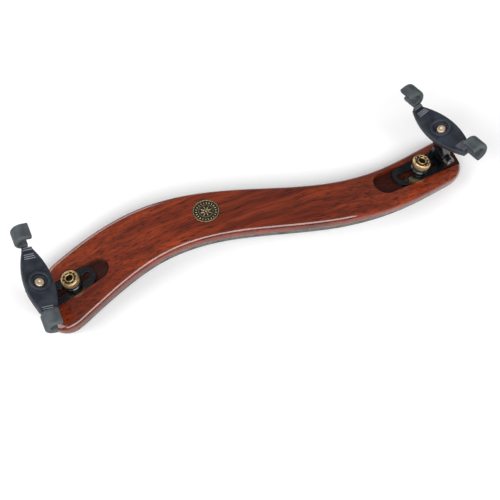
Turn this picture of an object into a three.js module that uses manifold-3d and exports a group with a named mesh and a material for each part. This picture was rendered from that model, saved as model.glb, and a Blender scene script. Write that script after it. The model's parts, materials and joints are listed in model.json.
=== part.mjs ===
// Violin shoulder rest: an arched S-shaped wooden body on a foam pad, with a sliding bracket at each end.
// Each bracket carries a folding foot, and the foot carries a turning fork with two rubber-covered claws.
// Units are millimetres, +Z is up, +X runs along the body, and the rest stands on the ends of its pad.
//
// The body is drawn flat, as (s, y, h): s along its length, y across it and h above its top face. It is laid
// over a cylinder whose axis lies along Y, which leaves the last third of each end straight.
import * as THREE from 'three';
import { mergeVertices } from 'three/addons/utils/BufferGeometryUtils.js';
import Module from 'manifold-3d';

const wasm = await Module();
wasm.setup();

const deg = THREE.MathUtils.degToRad;
const GAP = 0.3; // between neighbours that touch

// Body, drawn flat
const HALF_LENGTH = 119;
const SWAY = 10.6; // how far the centreline swings each way
const SWAY_HALF_WAVE = 104.5;
const BOW = 1.4; // extra lift of the centreline at mid length
const NARROW_WIDTH = 25.2;
const EXTRA_WIDTH = 12.9; // added at the wide end
const WIDTH_CENTRE = -45; // where half of the extra width is left
const WIDTH_SPREAD = 22.1;
const CORNER_LEFT = 15; // plan radius of the two corners at the left end
const CORNER_RIGHT = 9;
const EDGE_STATIONS = 28;
const CORNER_STATIONS = 6;
const BODY_THICK = 5.5;
const EDGE_RADIUS = 2.6; // rounding of the top edge
const EDGE_STEPS = 2;

// Arch
const ARCH_ANGLE = deg(11.7); // slope of each straight end
const ARCH_HALF = 65.5; // half length of the curved stretch
const ARCH_RADIUS = ARCH_HALF / ARCH_ANGLE;

// Foam pad
const PAD_INSET = 0.8;
const PAD_THICK = 4.2;
const PAD_END_THICK = 3.2;
const PAD_THICK_UNTIL = 40; // s where the pad starts to thin
const PAD_THIN_FROM = 90; // s where it has its end thickness
const PAD_FOOT_DEPTH = 0.6; // how much of its two lowest edges is cut flat, for the rest to stand on

// Badge
const BADGE_RADIUS = 6.8;
const BADGE_S = -23.4;
const BADGE_Y = 9.4;
const BADGE_PROUD = 0.25;
const BADGE_THICK = 0.6;

// Slide channel and its stud, measured along the channel with +X outwards and the stud at 0
const CHANNEL_WIDTH = 13.2;
const CHANNEL_DEPTH = 2;
const STUD_RADIUS = 1.5;
const FLANGE_RADIUS = 4.5;
const FLANGE_THICK = 1;
const STUD_TOP = 5.8;

// Bracket, measured from its round inner end
const BRACKET_WIDTH = 12.4;
const BRACKET_THICK = 1.5;
const BRACKET_PIN_AT = 31.5; // inner end to hinge pin
const NOTCH_COUNT = 6; // stud stops along the slot
const FIRST_NOTCH = 4.4;
const NOTCH_PITCH = 4.1;
const NOTCH_RADIUS = 2.3;
const SLOT_HALF_WIDTH = 1.9;

// Clamp nut and the collar under it
const COLLAR_RADIUS = 4.4;
const COLLAR_THICK = 2.6;
const NUT_RADIUS = 4.75;
const NUT_THICK = 3.8;
const NUT_HUB_RADIUS = 2.4;
const NUT_GROOVE_RADIUS = 3.6;
const NUT_GROOVE_DEPTH = 0.9;

// Hinge
const PIN_RADIUS = 1.25;
const PIN_HEIGHT = 3.2; // above the body's top face
const EAR_THICK = 2.6;
const EAR_RADIUS = 3.3;
const KNUCKLE_RADIUS = 2.9;

// Foot, with its head set outwards of the hinge pin, and its heights up the screw axis
const FOOT_LEAN = deg(21.5); // towards the other end, from the body's own normal
const FOOT_CANT = deg(-9.3); // of the foot's head and screw, along the hinge pin
const HEAD_OFFSET = 2.8; // screw axis outwards of the hinge pin
const FOOT_HALF = 4.4;
const FOOT_SHOULDER = 4.5;
const FOOT_TOE = 1.2; // how far the head's slanted outer side starts from the screw axis
const FOOT_HIP = 9; // height where that side is upright
const FOOT_TOP = 12.9;
const FOOT_BORE_FLOOR = 8.4;
const INSERT_RADIUS = 3.3;
const INSERT_FLANGE_RADIUS = 4.1;
const INSERT_FLANGE_THICK = 0.8;
const SCREW_RADIUS = 2.5;
const SCREW_BOTTOM = 10.3;
const SCREW_TOP = 20.9;

// Fork, with its long axis along Y and its claws hooked towards -X
const LEAF_BOTTOM = 17.8;
const LEAF_THICK = 2.8;
const LEAF_HALF_WIDTH = 7.5;
const LEAF_TIP = 25; // where the leaf's two curved edges would meet
const LEAF_END = 20.5; // where the leaf is cut off at its neck
const BOSS_BOTTOM = 16.5;
const BOSS_LOW_RADIUS = 4.5;
const BOSS_TOP = 22.4;
const BOSS_RADIUS = 5.5;
const BOSS_RECESS_RADIUS = 4;
const BOSS_RECESS_FLOOR = 19.8;

// Claw: a tongue bent into a C in the X-Z plane, with a rubber sleeve over it
const CLAW_BEND = 3.75; // mean radius of the C
const CLAW_CENTRE_X = 1.6;
const CLAW_CENTRE_Z = 25;
const CLAW_ROOT_RUN = 1.8; // straight run below the bend
const CLAW_TIP_RUN = 2.9; // straight run above it
const CLAW_THICK = 1.3;
const SLEEVE_THICK = 2.9;
const SLEEVE_PAST = 0.4; // how far the sleeve runs past the tongue's ends
const SLEEVE_INNER_Y = 20.5;
const SLEEVE_OUTER_Y = 29.4;
const SLEEVE_WALL = 0.9;
const SLEEVE_ROUNDING = 0.6;
const RISER_X = [-2.2, 3.1]; // the block that lifts each claw off the leaf
const RISER_BOTTOM = 18.6;

// The two ends: where the stud is, the channel's heading and its length inward of the stud, the notch that
// the stud is in, and how the fork is turned
const ENDS = [
  {
    name: 'left',
    side: -1,
    studS: -100,
    studY: 2.4,
    heading: deg(188.9),
    channelInner: 20.5,
    notch: 2,
    turn: deg(-9.7),
  },
  {
    name: 'right',
    side: 1,
    studS: 93.5,
    studY: -1.5,
    heading: deg(11.5),
    channelInner: 29.4,
    notch: 3,
    turn: deg(4),
  },
];

// ---------------------------------------------------------------- materials

function finish(color, roughness, metalness) {
  return new THREE.MeshStandardMaterial({ color, roughness, metalness });
}

const finishes = {
  wood: () => finish(0x8a3a22, 0.2, 0),
  foam: () => finish(0x4a4a47, 0.95, 0),
  pewter: () => finish(0x8f8668, 0.45, 1),
  blackMetal: () => finish(0x0c1114, 0.3, 0.8),
  brass: () => finish(0xc8a064, 0.3, 1),
  steel: () => finish(0x9a9c9e, 0.35, 1),
  plastic: () => finish(0x282d34, 0.6, 0),
  rubber: () => finish(0x464a50, 0.85, 0),
};

// ---------------------------------------------------------------- solids

// Merge a geometry's shared vertices, so that it is one closed mesh of positions.
function closed(geometry) {
  const bare = new THREE.BufferGeometry();
  bare.setAttribute('position', geometry.getAttribute('position').clone());
  if (geometry.index) bare.setIndex(geometry.index.clone());
  return mergeVertices(bare, 1e-4);
}

function solid(geometry) {
  const mesh = closed(geometry);
  return new wasm.Manifold(new wasm.Mesh({
    numProp: 3,
    vertProperties: new Float32Array(mesh.getAttribute('position').array),
    triVerts: new Uint32Array(mesh.index.array),
  }));
}

function geometryOf(manifold) {
  const { vertProperties, triVerts } = manifold.getMesh();
  const geometry = new THREE.BufferGeometry();
  geometry.setAttribute('position', new THREE.BufferAttribute(new Float32Array(vertProperties), 3));
  geometry.setIndex(new THREE.BufferAttribute(new Uint32Array(triVerts), 1));
  return geometry;
}

// Join the first geometries and cut the second ones away.
function carve(joined, cut = []) {
  const body = joined.map(solid).reduce((sum, part) => sum.add(part));
  return geometryOf(cut.map(solid).reduce((rest, part) => rest.subtract(part), body));
}

// A flat outline raised from z = low to z = high, with rounded rims if asked for.
function prism(shape, low, high, rounding = 0, steps = 1) {
  const geometry = new THREE.ExtrudeGeometry(shape, {
    depth: high - low - 2 * rounding,
    bevelEnabled: rounding > 0,
    bevelThickness: rounding,
    bevelSize: rounding,
    bevelOffset: -rounding,
    bevelSegments: steps,
    curveSegments: 8,
  });
  return geometry.translate(0, 0, low + rounding);
}

function disc(radius, low, high, segments = 28, x = 0) {
  const geometry = new THREE.CylinderGeometry(radius, radius, high - low, segments);
  return geometry.rotateX(Math.PI / 2).translate(x, 0, (low + high) / 2);
}

function block(x0, x1, y0, y1, z0, z1) {
  const geometry = new THREE.BoxGeometry(x1 - x0, y1 - y0, z1 - z0);
  return geometry.translate((x0 + x1) / 2, (y0 + y1) / 2, (z0 + z1) / 2);
}

// A round piece from its half section, given as [radius, z] corners from the bottom round to the top.
function turned(corners, segments = 28) {
  const points = [...corners, corners[0]].map(([r, z]) => new THREE.Vector2(r, z));
  return new THREE.LatheGeometry(points, segments).rotateX(Math.PI / 2);
}

// ---------------------------------------------------------------- body shape

function centreline(s) {
  return -SWAY * Math.sin((Math.PI * s) / SWAY_HALF_WAVE) + BOW * (1 - (s / HALF_LENGTH) ** 2);
}

// Half the body's width, measured straight across Y.
function halfAcross(s) {
  const width = NARROW_WIDTH + EXTRA_WIDTH / (1 + Math.exp((s - WIDTH_CENTRE) / WIDTH_SPREAD));
  const slope = (-SWAY * Math.PI / SWAY_HALF_WAVE) * Math.cos((Math.PI * s) / SWAY_HALF_WAVE);
  return (width / 2) * Math.hypot(1, slope);
}

// Stations along the outline drawn in by inset: even along the edges, and closer round the corners, where
// drop is how far the corner has come in from the edge.
function outlineStations(inset) {
  const start = CORNER_LEFT - HALF_LENGTH;
  const end = HALF_LENGTH - CORNER_RIGHT;
  const stations = [];
  for (let i = 0; i <= EDGE_STATIONS; i++) {
    stations.push({ s: THREE.MathUtils.lerp(start, end, i / EDGE_STATIONS), drop: 0 });
  }
  for (let i = 1; i <= CORNER_STATIONS; i++) {
    const angle = (Math.PI / 2) * (i / CORNER_STATIONS);
    const along = Math.sin(angle);
    const across = 1 - Math.cos(angle);
    stations.push({ s: end + (CORNER_RIGHT - inset) * along, drop: (CORNER_RIGHT - inset) * across });
    stations.unshift({ s: start - (CORNER_LEFT - inset) * along, drop: (CORNER_LEFT - inset) * across });
  }
  return stations;
}

// ---------------------------------------------------------------- the arch

// A point of the flat drawing, on the arch.
function onArch(s, y, h) {
  const bent = THREE.MathUtils.clamp(s, -ARCH_HALF, ARCH_HALF);
  const angle = bent / ARCH_RADIUS;
  const past = s - bent;
  return new THREE.Vector3(
    (ARCH_RADIUS + h) * Math.sin(angle) + past * Math.cos(angle),
    y,
    (ARCH_RADIUS + h) * Math.cos(angle) - ARCH_RADIUS - past * Math.sin(angle),
  );
}

// An arched plate from its levels, lowest first. Each level is the outline drawn in by inset, at height(s).
// Every station gives a near and a far point, so the two faces are strips that bend with the arch.
function archedPlate(levels) {
  const points = [];
  const faces = [];
  const quad = (a, b, c, d) => faces.push(a, b, c, a, c, d);
  const count = outlineStations(0).length;
  const near = (level, i) => 2 * (level * count + i);
  const far = (level, i) => near(level, i) + 1;
  for (const { inset, height } of levels) {
    for (const { s, drop } of outlineStations(inset)) {
      const half = halfAcross(s) - inset - drop;
      points.push(onArch(s, centreline(s) - half, height(s)), onArch(s, centreline(s) + half, height(s)));
    }
  }
  const top = levels.length - 1;
  const last = count - 1;
  for (let i = 0; i < last; i++) {
    quad(near(0, i), far(0, i), far(0, i + 1), near(0, i + 1));
    quad(near(top, i), near(top, i + 1), far(top, i + 1), far(top, i));
    for (let k = 0; k < top; k++) {
      quad(near(k, i), near(k, i + 1), near(k + 1, i + 1), near(k + 1, i));
      quad(far(k, i + 1), far(k, i), far(k + 1, i), far(k + 1, i + 1));
    }
  }
  for (let k = 0; k < top; k++) {
    quad(far(k, 0), near(k, 0), near(k + 1, 0), far(k + 1, 0));
    quad(near(k, last), far(k, last), far(k + 1, last), near(k + 1, last));
  }
  const geometry = new THREE.BufferGeometry().setFromPoints(points);
  return geometry.setIndex(faces);
}

// ---------------------------------------------------------------- body pieces

// A group's place and turn: at a stud, on the body's straight end, with +X outwards along the channel.
function channelPlace(end) {
  const turn = new THREE.Quaternion().setFromEuler(new THREE.Euler(0, end.side * ARCH_ANGLE, end.heading));
  return new THREE.Matrix4().compose(onArch(end.studS, end.studY, 0), turn, new THREE.Vector3(1, 1, 1));
}

// The same for a spot on the curved stretch, with +Z out of the top face.
function badgePlace() {
  const turn = new THREE.Quaternion().setFromEuler(new THREE.Euler(0, BADGE_S / ARCH_RADIUS, 0));
  return new THREE.Matrix4().compose(onArch(BADGE_S, BADGE_Y, 0), turn, new THREE.Vector3(1, 1, 1));
}

function channelCut(end) {
  const half = CHANNEL_WIDTH / 2;
  const past = HALF_LENGTH; // well past the body's end
  const shape = new THREE.Shape();
  shape.moveTo(past, -half);
  shape.lineTo(past, half);
  shape.lineTo(-end.channelInner + half, half);
  shape.absarc(-end.channelInner + half, 0, half, Math.PI / 2, (3 * Math.PI) / 2, false);
  return prism(shape, -CHANNEL_DEPTH, 1).applyMatrix4(channelPlace(end));
}

function studCuts(end) {
  const bore = disc(STUD_RADIUS + GAP, -BODY_THICK - 1, 0, 20);
  const seat = disc(FLANGE_RADIUS + GAP, -BODY_THICK - 1, -BODY_THICK + FLANGE_THICK + 2 * GAP);
  return [bore, seat].map((geometry) => geometry.applyMatrix4(channelPlace(end)));
}

function bodyPlate() {
  const levels = [{ inset: 0, height: () => -BODY_THICK }];
  for (let i = 0; i <= EDGE_STEPS; i++) {
    const angle = (Math.PI / 2) * (i / EDGE_STEPS);
    const height = EDGE_RADIUS * (Math.sin(angle) - 1);
    levels.push({ inset: EDGE_RADIUS * (1 - Math.cos(angle)), height: () => height });
  }
  const badgeSeat = disc(BADGE_RADIUS + GAP, BADGE_PROUD - BADGE_THICK - GAP, 1).applyMatrix4(badgePlace());
  return carve([archedPlate(levels)], [badgeSeat, ...ENDS.map(channelCut), ...ENDS.flatMap(studCuts)]);
}

function foamPad() {
  const top = -BODY_THICK - GAP;
  const thickness = (s) => {
    const along = (Math.abs(s) - PAD_THICK_UNTIL) / (PAD_THIN_FROM - PAD_THICK_UNTIL);
    return THREE.MathUtils.lerp(PAD_THICK, PAD_END_THICK, THREE.MathUtils.clamp(along, 0, 1));
  };
  const pad = archedPlate([
    { inset: PAD_INSET, height: (s) => top - thickness(s) },
    { inset: PAD_INSET, height: () => top },
  ]);
  pad.computeBoundingBox();
  const floor = pad.boundingBox.min.z + PAD_FOOT_DEPTH;
  const reach = HALF_LENGTH;
  return carve([pad], [block(-reach, reach, -reach, reach, floor - PAD_THICK, floor)]);
}

function badge() {
  const low = BADGE_PROUD - BADGE_THICK;
  const rim = BADGE_RADIUS - 0.7;
  const floor = BADGE_PROUD - 0.15;
  return turned([[0, low], [BADGE_RADIUS, low], [BADGE_RADIUS, BADGE_PROUD], [rim, BADGE_PROUD],
    [rim, floor], [0, floor]], 40);
}

// ---------------------------------------------------------------- pieces of one end, in the channel's frame

const bracketLow = -CHANNEL_DEPTH + GAP;
const bracketTop = bracketLow + BRACKET_THICK;
const collarLow = bracketTop + GAP;
const nutLow = collarLow + COLLAR_THICK + GAP;
const nutTop = nutLow + NUT_THICK;
const notchAt = (i) => FIRST_NOTCH + i * NOTCH_PITCH;

// The bracket is drawn from its inner end, with a raised ear on each side of the foot.
function endBracket() {
  const half = BRACKET_WIDTH / 2;
  const outer = BRACKET_PIN_AT + EAR_RADIUS - 0.8;
  const plan = new THREE.Shape();
  plan.moveTo(outer, -half);
  plan.lineTo(outer, half);
  plan.lineTo(half, half);
  plan.absarc(half, 0, half, Math.PI / 2, (3 * Math.PI) / 2, false);
  const plate = prism(plan, bracketLow, bracketTop);

  const side = new THREE.Shape();
  side.moveTo(BRACKET_PIN_AT - EAR_RADIUS, bracketLow + 0.5);
  side.lineTo(outer, bracketLow + 0.5);
  side.lineTo(outer, PIN_HEIGHT);
  side.absarc(BRACKET_PIN_AT, PIN_HEIGHT, EAR_RADIUS, 0, Math.PI, false);
  const ear = (y) => prism(side, 0, EAR_THICK).rotateX(Math.PI / 2).translate(0, y, 0);

  const low = bracketLow - 1;
  const high = bracketTop + 1;
  const cuts = [block(notchAt(0), notchAt(NOTCH_COUNT - 1), -SLOT_HALF_WIDTH, SLOT_HALF_WIDTH, low, high)];
  for (let i = 0; i < NOTCH_COUNT; i++) cuts.push(disc(NOTCH_RADIUS, low, high, 20, notchAt(i)));
  const pinBore = disc(PIN_RADIUS + GAP, -half - 1, half + 1, 20)
    .rotateX(Math.PI / 2).translate(BRACKET_PIN_AT, 0, PIN_HEIGHT);
  return carve([plate, ear(half), ear(-half + EAR_THICK)], [...cuts, pinBore]);
}

function clampStud() {
  const low = -BODY_THICK + 0.1;
  const shoulder = low + FLANGE_THICK;
  return turned([[0, low], [FLANGE_RADIUS, low], [FLANGE_RADIUS, shoulder], [STUD_RADIUS, shoulder],
    [STUD_RADIUS, STUD_TOP], [0, STUD_TOP]], 20);
}

function clampCollar() {
  const bore = STUD_RADIUS + GAP;
  const top = collarLow + COLLAR_THICK;
  return turned([[bore, collarLow], [COLLAR_RADIUS, collarLow], [COLLAR_RADIUS, top], [bore, top]]);
}

function thumbNut() {
  const bore = STUD_RADIUS + GAP;
  const chamfer = 0.4;
  const floor = nutTop - NUT_GROOVE_DEPTH;
  return turned([[bore, nutLow], [NUT_RADIUS, nutLow], [NUT_RADIUS, nutTop - 2 * chamfer],
    [NUT_RADIUS - chamfer, nutTop - chamfer], [NUT_GROOVE_RADIUS, nutTop - chamfer],
    [NUT_GROOVE_RADIUS, floor], [NUT_HUB_RADIUS, floor], [NUT_HUB_RADIUS, nutTop], [bore, nutTop]], 32);
}

function hingePin() {
  return new THREE.CylinderGeometry(PIN_RADIUS, PIN_RADIUS, BRACKET_WIDTH, 20);
}

// ---------------------------------------------------------------- foot and fork, from the hinge pin up

function footBlock() {
  const halfKnuckle = BRACKET_WIDTH / 2 - EAR_THICK - GAP;
  const knuckle = new THREE.CylinderGeometry(KNUCKLE_RADIUS, KNUCKLE_RADIUS, 2 * halfKnuckle, 28);
  const neck = block(-0.8 * KNUCKLE_RADIUS, KNUCKLE_RADIUS, -halfKnuckle, halfKnuckle, 0, FOOT_SHOULDER + 1);
  const side = new THREE.Shape();
  side.moveTo(-FOOT_HALF, FOOT_SHOULDER);
  side.lineTo(FOOT_TOE, FOOT_SHOULDER);
  side.lineTo(FOOT_HALF, FOOT_HIP);
  side.lineTo(FOOT_HALF, FOOT_TOP);
  side.lineTo(-FOOT_HALF, FOOT_TOP);
  const onHead = (geometry) => geometry.rotateX(FOOT_CANT).translate(HEAD_OFFSET, 0, 0);
  const head = onHead(prism(side, -FOOT_HALF, FOOT_HALF, 0.5).rotateX(Math.PI / 2));
  const bore = onHead(disc(INSERT_RADIUS + GAP, FOOT_BORE_FLOOR, FOOT_TOP + 1, 24));
  const pinBore = new THREE.CylinderGeometry(PIN_RADIUS + GAP, PIN_RADIUS + GAP, BRACKET_WIDTH, 20);
  return carve([knuckle, neck, head], [bore, pinBore]);
}

function footInsert() {
  const bore = SCREW_RADIUS + GAP;
  const low = FOOT_BORE_FLOOR + GAP;
  const seat = FOOT_TOP + GAP;
  const top = seat + INSERT_FLANGE_THICK;
  return turned([[bore, low], [INSERT_RADIUS, low], [INSERT_RADIUS, seat], [INSERT_FLANGE_RADIUS, seat],
    [INSERT_FLANGE_RADIUS, top], [bore, top]], 24);
}

function forkScrew() {
  const chamfer = 0.5;
  const tip = SCREW_RADIUS - chamfer;
  return turned([[0, SCREW_BOTTOM], [tip, SCREW_BOTTOM], [SCREW_RADIUS, SCREW_BOTTOM + chamfer],
    [SCREW_RADIUS, SCREW_TOP - chamfer], [tip, SCREW_TOP], [0, SCREW_TOP]], 24);
}

// The claw's C as a flat outline in its own X-Y plane: x away from the other fork, y up the screw axis.
// extraRoot and extraTip lengthen its two straight runs.
function clawOutline(thickness, extraRoot = 0, extraTip = 0) {
  const outer = CLAW_BEND + thickness / 2;
  const inner = CLAW_BEND - thickness / 2;
  const rootX = CLAW_CENTRE_X - CLAW_ROOT_RUN - extraRoot;
  const tipX = CLAW_CENTRE_X - CLAW_TIP_RUN - extraTip;
  const shape = new THREE.Shape();
  shape.moveTo(rootX, CLAW_CENTRE_Z - outer);
  shape.absarc(CLAW_CENTRE_X, CLAW_CENTRE_Z, outer, -Math.PI / 2, Math.PI / 2, false);
  shape.lineTo(tipX, CLAW_CENTRE_Z + outer);
  shape.lineTo(tipX, CLAW_CENTRE_Z + inner);
  shape.absarc(CLAW_CENTRE_X, CLAW_CENTRE_Z, inner, Math.PI / 2, -Math.PI / 2, true);
  shape.lineTo(rootX, CLAW_CENTRE_Z - inner);
  return shape;
}

// A claw outline stood up and given its width along Y, on the side that side names.
function clawBand(shape, y0, y1, side, rounding = 0) {
  const standing = prism(shape, y0, y1, rounding).rotateX(Math.PI / 2); // now it runs along -Y
  return side < 0 ? standing : standing.translate(0, y0 + y1, 0);
}

// The neck that carries a claw, and the same neck grown by a gap.
function neck(side, grow) {
  const z = CLAW_CENTRE_Z - CLAW_BEND;
  const half = CLAW_THICK / 2 + grow;
  const y0 = LEAF_END - 1;
  const y1 = SLEEVE_INNER_Y + SLEEVE_WALL + 1.5;
  const [low, high] = side > 0 ? [y0, y1] : [-y1, -y0];
  return block(CLAW_CENTRE_X - CLAW_ROOT_RUN - grow, RISER_X[1] + grow, low, high, z - half, z + half);
}

// The block between the leaf and a neck.
function riser(side) {
  const y0 = LEAF_END - 2.5;
  const y1 = SLEEVE_INNER_Y - GAP;
  const [low, high] = side > 0 ? [y0, y1] : [-y1, -y0];
  return block(...RISER_X, low, high, RISER_BOTTOM, CLAW_CENTRE_Z - CLAW_BEND + CLAW_THICK / 2);
}

function fork() {
  const steps = 12;
  const edge = [];
  for (let i = 0; i <= steps; i++) {
    const y = LEAF_END * ((2 * i) / steps - 1);
    edge.push(new THREE.Vector2(LEAF_HALF_WIDTH * (1 - (y / LEAF_TIP) ** 2), y));
  }
  const leafShape = new THREE.Shape([...edge, ...edge.map((p) => new THREE.Vector2(-p.x, p.y)).reverse()]);
  const leaf = prism(leafShape, LEAF_BOTTOM, LEAF_BOTTOM + LEAF_THICK, 0.7);
  const lowBoss = disc(BOSS_LOW_RADIUS, BOSS_BOTTOM, LEAF_BOTTOM + 1);
  const boss = disc(BOSS_RADIUS, LEAF_BOTTOM + 1, BOSS_TOP);
  const inner = SLEEVE_INNER_Y + SLEEVE_WALL + GAP;
  const outer = SLEEVE_OUTER_Y - SLEEVE_WALL - GAP;
  const claws = [-1, 1].flatMap((side) => [
    clawBand(clawOutline(CLAW_THICK), inner, outer, side),
    neck(side, 0),
    riser(side),
  ]);
  const recess = disc(BOSS_RECESS_RADIUS, BOSS_RECESS_FLOOR, BOSS_TOP + 1);
  const bore = disc(SCREW_RADIUS + GAP, BOSS_BOTTOM - 1, BOSS_TOP, 24);
  return carve([leaf, lowBoss, boss, ...claws], [recess, bore]);
}

function rubberCover(side) {
  const outline = clawOutline(SLEEVE_THICK, SLEEVE_PAST, SLEEVE_PAST);
  const outside = clawBand(outline, SLEEVE_INNER_Y, SLEEVE_OUTER_Y, side, SLEEVE_ROUNDING);
  const hollow = clawOutline(CLAW_THICK + 2 * GAP, GAP, 3);
  const inside = clawBand(hollow, SLEEVE_INNER_Y + SLEEVE_WALL, SLEEVE_OUTER_Y - SLEEVE_WALL, side);
  return carve([outside], [inside, neck(side, GAP)]);
}

// ---------------------------------------------------------------- assembly

function named(name, geometry, material) {
  const mesh = new THREE.Mesh(geometry, material);
  mesh.name = name;
  return mesh;
}

function endAssembly(end) {
  const { name, side } = end;
  const channel = new THREE.Group();
  channel.applyMatrix4(channelPlace(end));

  const bracket = named(`${name}_end_bracket`, endBracket(), finishes.blackMetal());
  bracket.position.x = -notchAt(end.notch);
  channel.add(
    bracket,
    named(`${name}_clamp_stud`, clampStud(), finishes.brass()),
    named(`${name}_clamp_collar`, clampCollar(), finishes.blackMetal()),
    named(`${name}_thumb_nut`, thumbNut(), finishes.brass()),
  );

  const foot = new THREE.Group();
  foot.position.set(BRACKET_PIN_AT - notchAt(end.notch), 0, PIN_HEIGHT);
  foot.rotation.y = -FOOT_LEAN;
  foot.add(
    named(`${name}_hinge_pin`, hingePin(), finishes.steel()),
    named(`${name}_foot_block`, footBlock(), finishes.plastic()),
  );
  channel.add(foot);

  const head = new THREE.Group();
  head.position.x = HEAD_OFFSET;
  head.rotation.x = FOOT_CANT;
  head.add(
    named(`${name}_foot_insert`, footInsert(), finishes.brass()),
    named(`${name}_fork_screw`, forkScrew(), finishes.brass()),
  );
  foot.add(head);

  const turning = new THREE.Group();
  turning.rotation.z = end.turn;
  turning.add(
    named(`${name}_fork`, fork(), finishes.plastic()),
    named(`${name}_rubber_cover_far`, rubberCover(side), finishes.rubber()),
    named(`${name}_rubber_cover_near`, rubberCover(-side), finishes.rubber()),
  );
  head.add(turning);
  return channel;
}

const shoulderRest = new THREE.Group();
shoulderRest.add(
  named('body_plate', bodyPlate(), finishes.wood()),
  named('foam_pad', foamPad(), finishes.foam()),
);
const badgeMesh = named('badge', badge(), finishes.pewter());
badgeMesh.applyMatrix4(badgePlace());
shoulderRest.add(badgeMesh, ...ENDS.map(endAssembly));

// Stand it on the floor, with the origin under the middle of its bounding box.
const box = new THREE.Box3().setFromObject(shoulderRest, true);
const middle = box.getCenter(new THREE.Vector3());
shoulderRest.position.set(-middle.x, -middle.y, -box.min.z);
shoulderRest.updateMatrixWorld(true);

export default shoulderRest;
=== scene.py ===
"""A violin shoulder rest: an arched, S-shaped varnished body on a foam pad.

Each end carries a black bracket that slides in a channel under a brass nut, a folding foot, and a
fork that turns on a brass screw and holds two rubber-covered claws. Shapes are drawn in millimetres
in their own local frames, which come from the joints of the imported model, and are placed in its
frame in metres. Numbers without a unit in a name or a comment are millimetres.
"""
from __future__ import annotations

import json
import logging
import math
from dataclasses import dataclass, field
from enum import Enum
from typing import Callable, Iterable, Sequence

import bmesh
import bpy
from mathutils import Matrix, Vector


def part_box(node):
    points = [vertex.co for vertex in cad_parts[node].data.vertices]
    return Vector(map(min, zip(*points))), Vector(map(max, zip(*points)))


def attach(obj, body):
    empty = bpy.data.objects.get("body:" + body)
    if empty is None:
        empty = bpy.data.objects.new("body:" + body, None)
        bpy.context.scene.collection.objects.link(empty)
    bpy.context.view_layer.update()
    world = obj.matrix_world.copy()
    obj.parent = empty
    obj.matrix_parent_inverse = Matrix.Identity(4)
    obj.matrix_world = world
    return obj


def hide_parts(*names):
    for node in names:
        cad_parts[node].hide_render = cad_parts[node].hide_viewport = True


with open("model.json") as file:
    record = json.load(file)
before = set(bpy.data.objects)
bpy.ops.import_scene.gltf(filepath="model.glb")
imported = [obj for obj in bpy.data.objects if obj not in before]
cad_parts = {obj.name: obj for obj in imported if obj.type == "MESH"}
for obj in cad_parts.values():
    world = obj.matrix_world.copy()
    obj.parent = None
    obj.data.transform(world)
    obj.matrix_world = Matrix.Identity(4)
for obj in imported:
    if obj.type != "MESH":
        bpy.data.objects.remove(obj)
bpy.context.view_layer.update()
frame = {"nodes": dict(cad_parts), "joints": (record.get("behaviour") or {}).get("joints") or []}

log = logging.getLogger("shoulder_rest")
logging.basicConfig(level=logging.INFO, format="%(name)s: %(message)s")

MM = 0.001
FORK_JOINT_HEIGHT = 19.2  # of the fork's joint, up the screw axis from the head's frame
SAME_POINT = 1e-7  # metres between points that are drawn as one
COPY_POINT, COPY_FLAT = 2e-6, 0.6  # metres and degrees, for the loose triangles of a CAD mesh
CREASE = 50.0  # degrees; sharper edges of an unrounded piece stay sharp
MOST_OF_SIDE = 0.45  # share of a section's side that one corner's rounding may take
LEAST_LEAN = 0.35  # keeps a sharp corner from running away when an outline is drawn in
Point = tuple[float, float, float]
Flat = tuple[float, float]


class Side(Enum):
    """The two ends of the body, by the prefix of their pieces' names."""

    LEFT = "left"
    RIGHT = "right"


class Reach(Enum):
    """The two claws of a fork, by the suffix of their rubber covers' names."""

    FAR = "far"
    NEAR = "near"


# ---------------------------------------------------------------- frames


@dataclass(frozen=True)
class Place:
    """A local frame in millimetres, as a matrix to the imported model's frame in metres."""

    matrix: Matrix

    @staticmethod
    def of(origin: Vector, x: Vector, y: Vector, z: Vector) -> "Place":
        """Make a place from an origin in metres and three unit directions.

        Args:
            origin: The local origin.
            x: The local X direction.
            y: The local Y direction.
            z: The local Z direction.

        Returns:
            The place.
        """
        matrix = Matrix.Identity(4)
        for column, axis in enumerate((x, y, z)):
            for row in range(3):
                matrix[row][column] = axis[row] * MM
        matrix.translation = origin
        return Place(matrix)

    def turned(self, angle: float, axis: str) -> "Place":
        """The same origin, turned by an angle in radians about a local axis."""
        return Place(self.matrix @ Matrix.Rotation(angle, 4, axis))

    def local(self, point: Vector) -> Vector:
        """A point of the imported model's frame, in local millimetres."""
        return self.matrix.inverted() @ point


def joint(name: str) -> dict:
    """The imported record's joint of that name."""
    return next(j for j in frame["joints"] if j["name"] == name)


def middle(node: str) -> Vector:
    """The middle of a CAD node's box."""
    low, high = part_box(node)
    return (low + high) / 2


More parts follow.
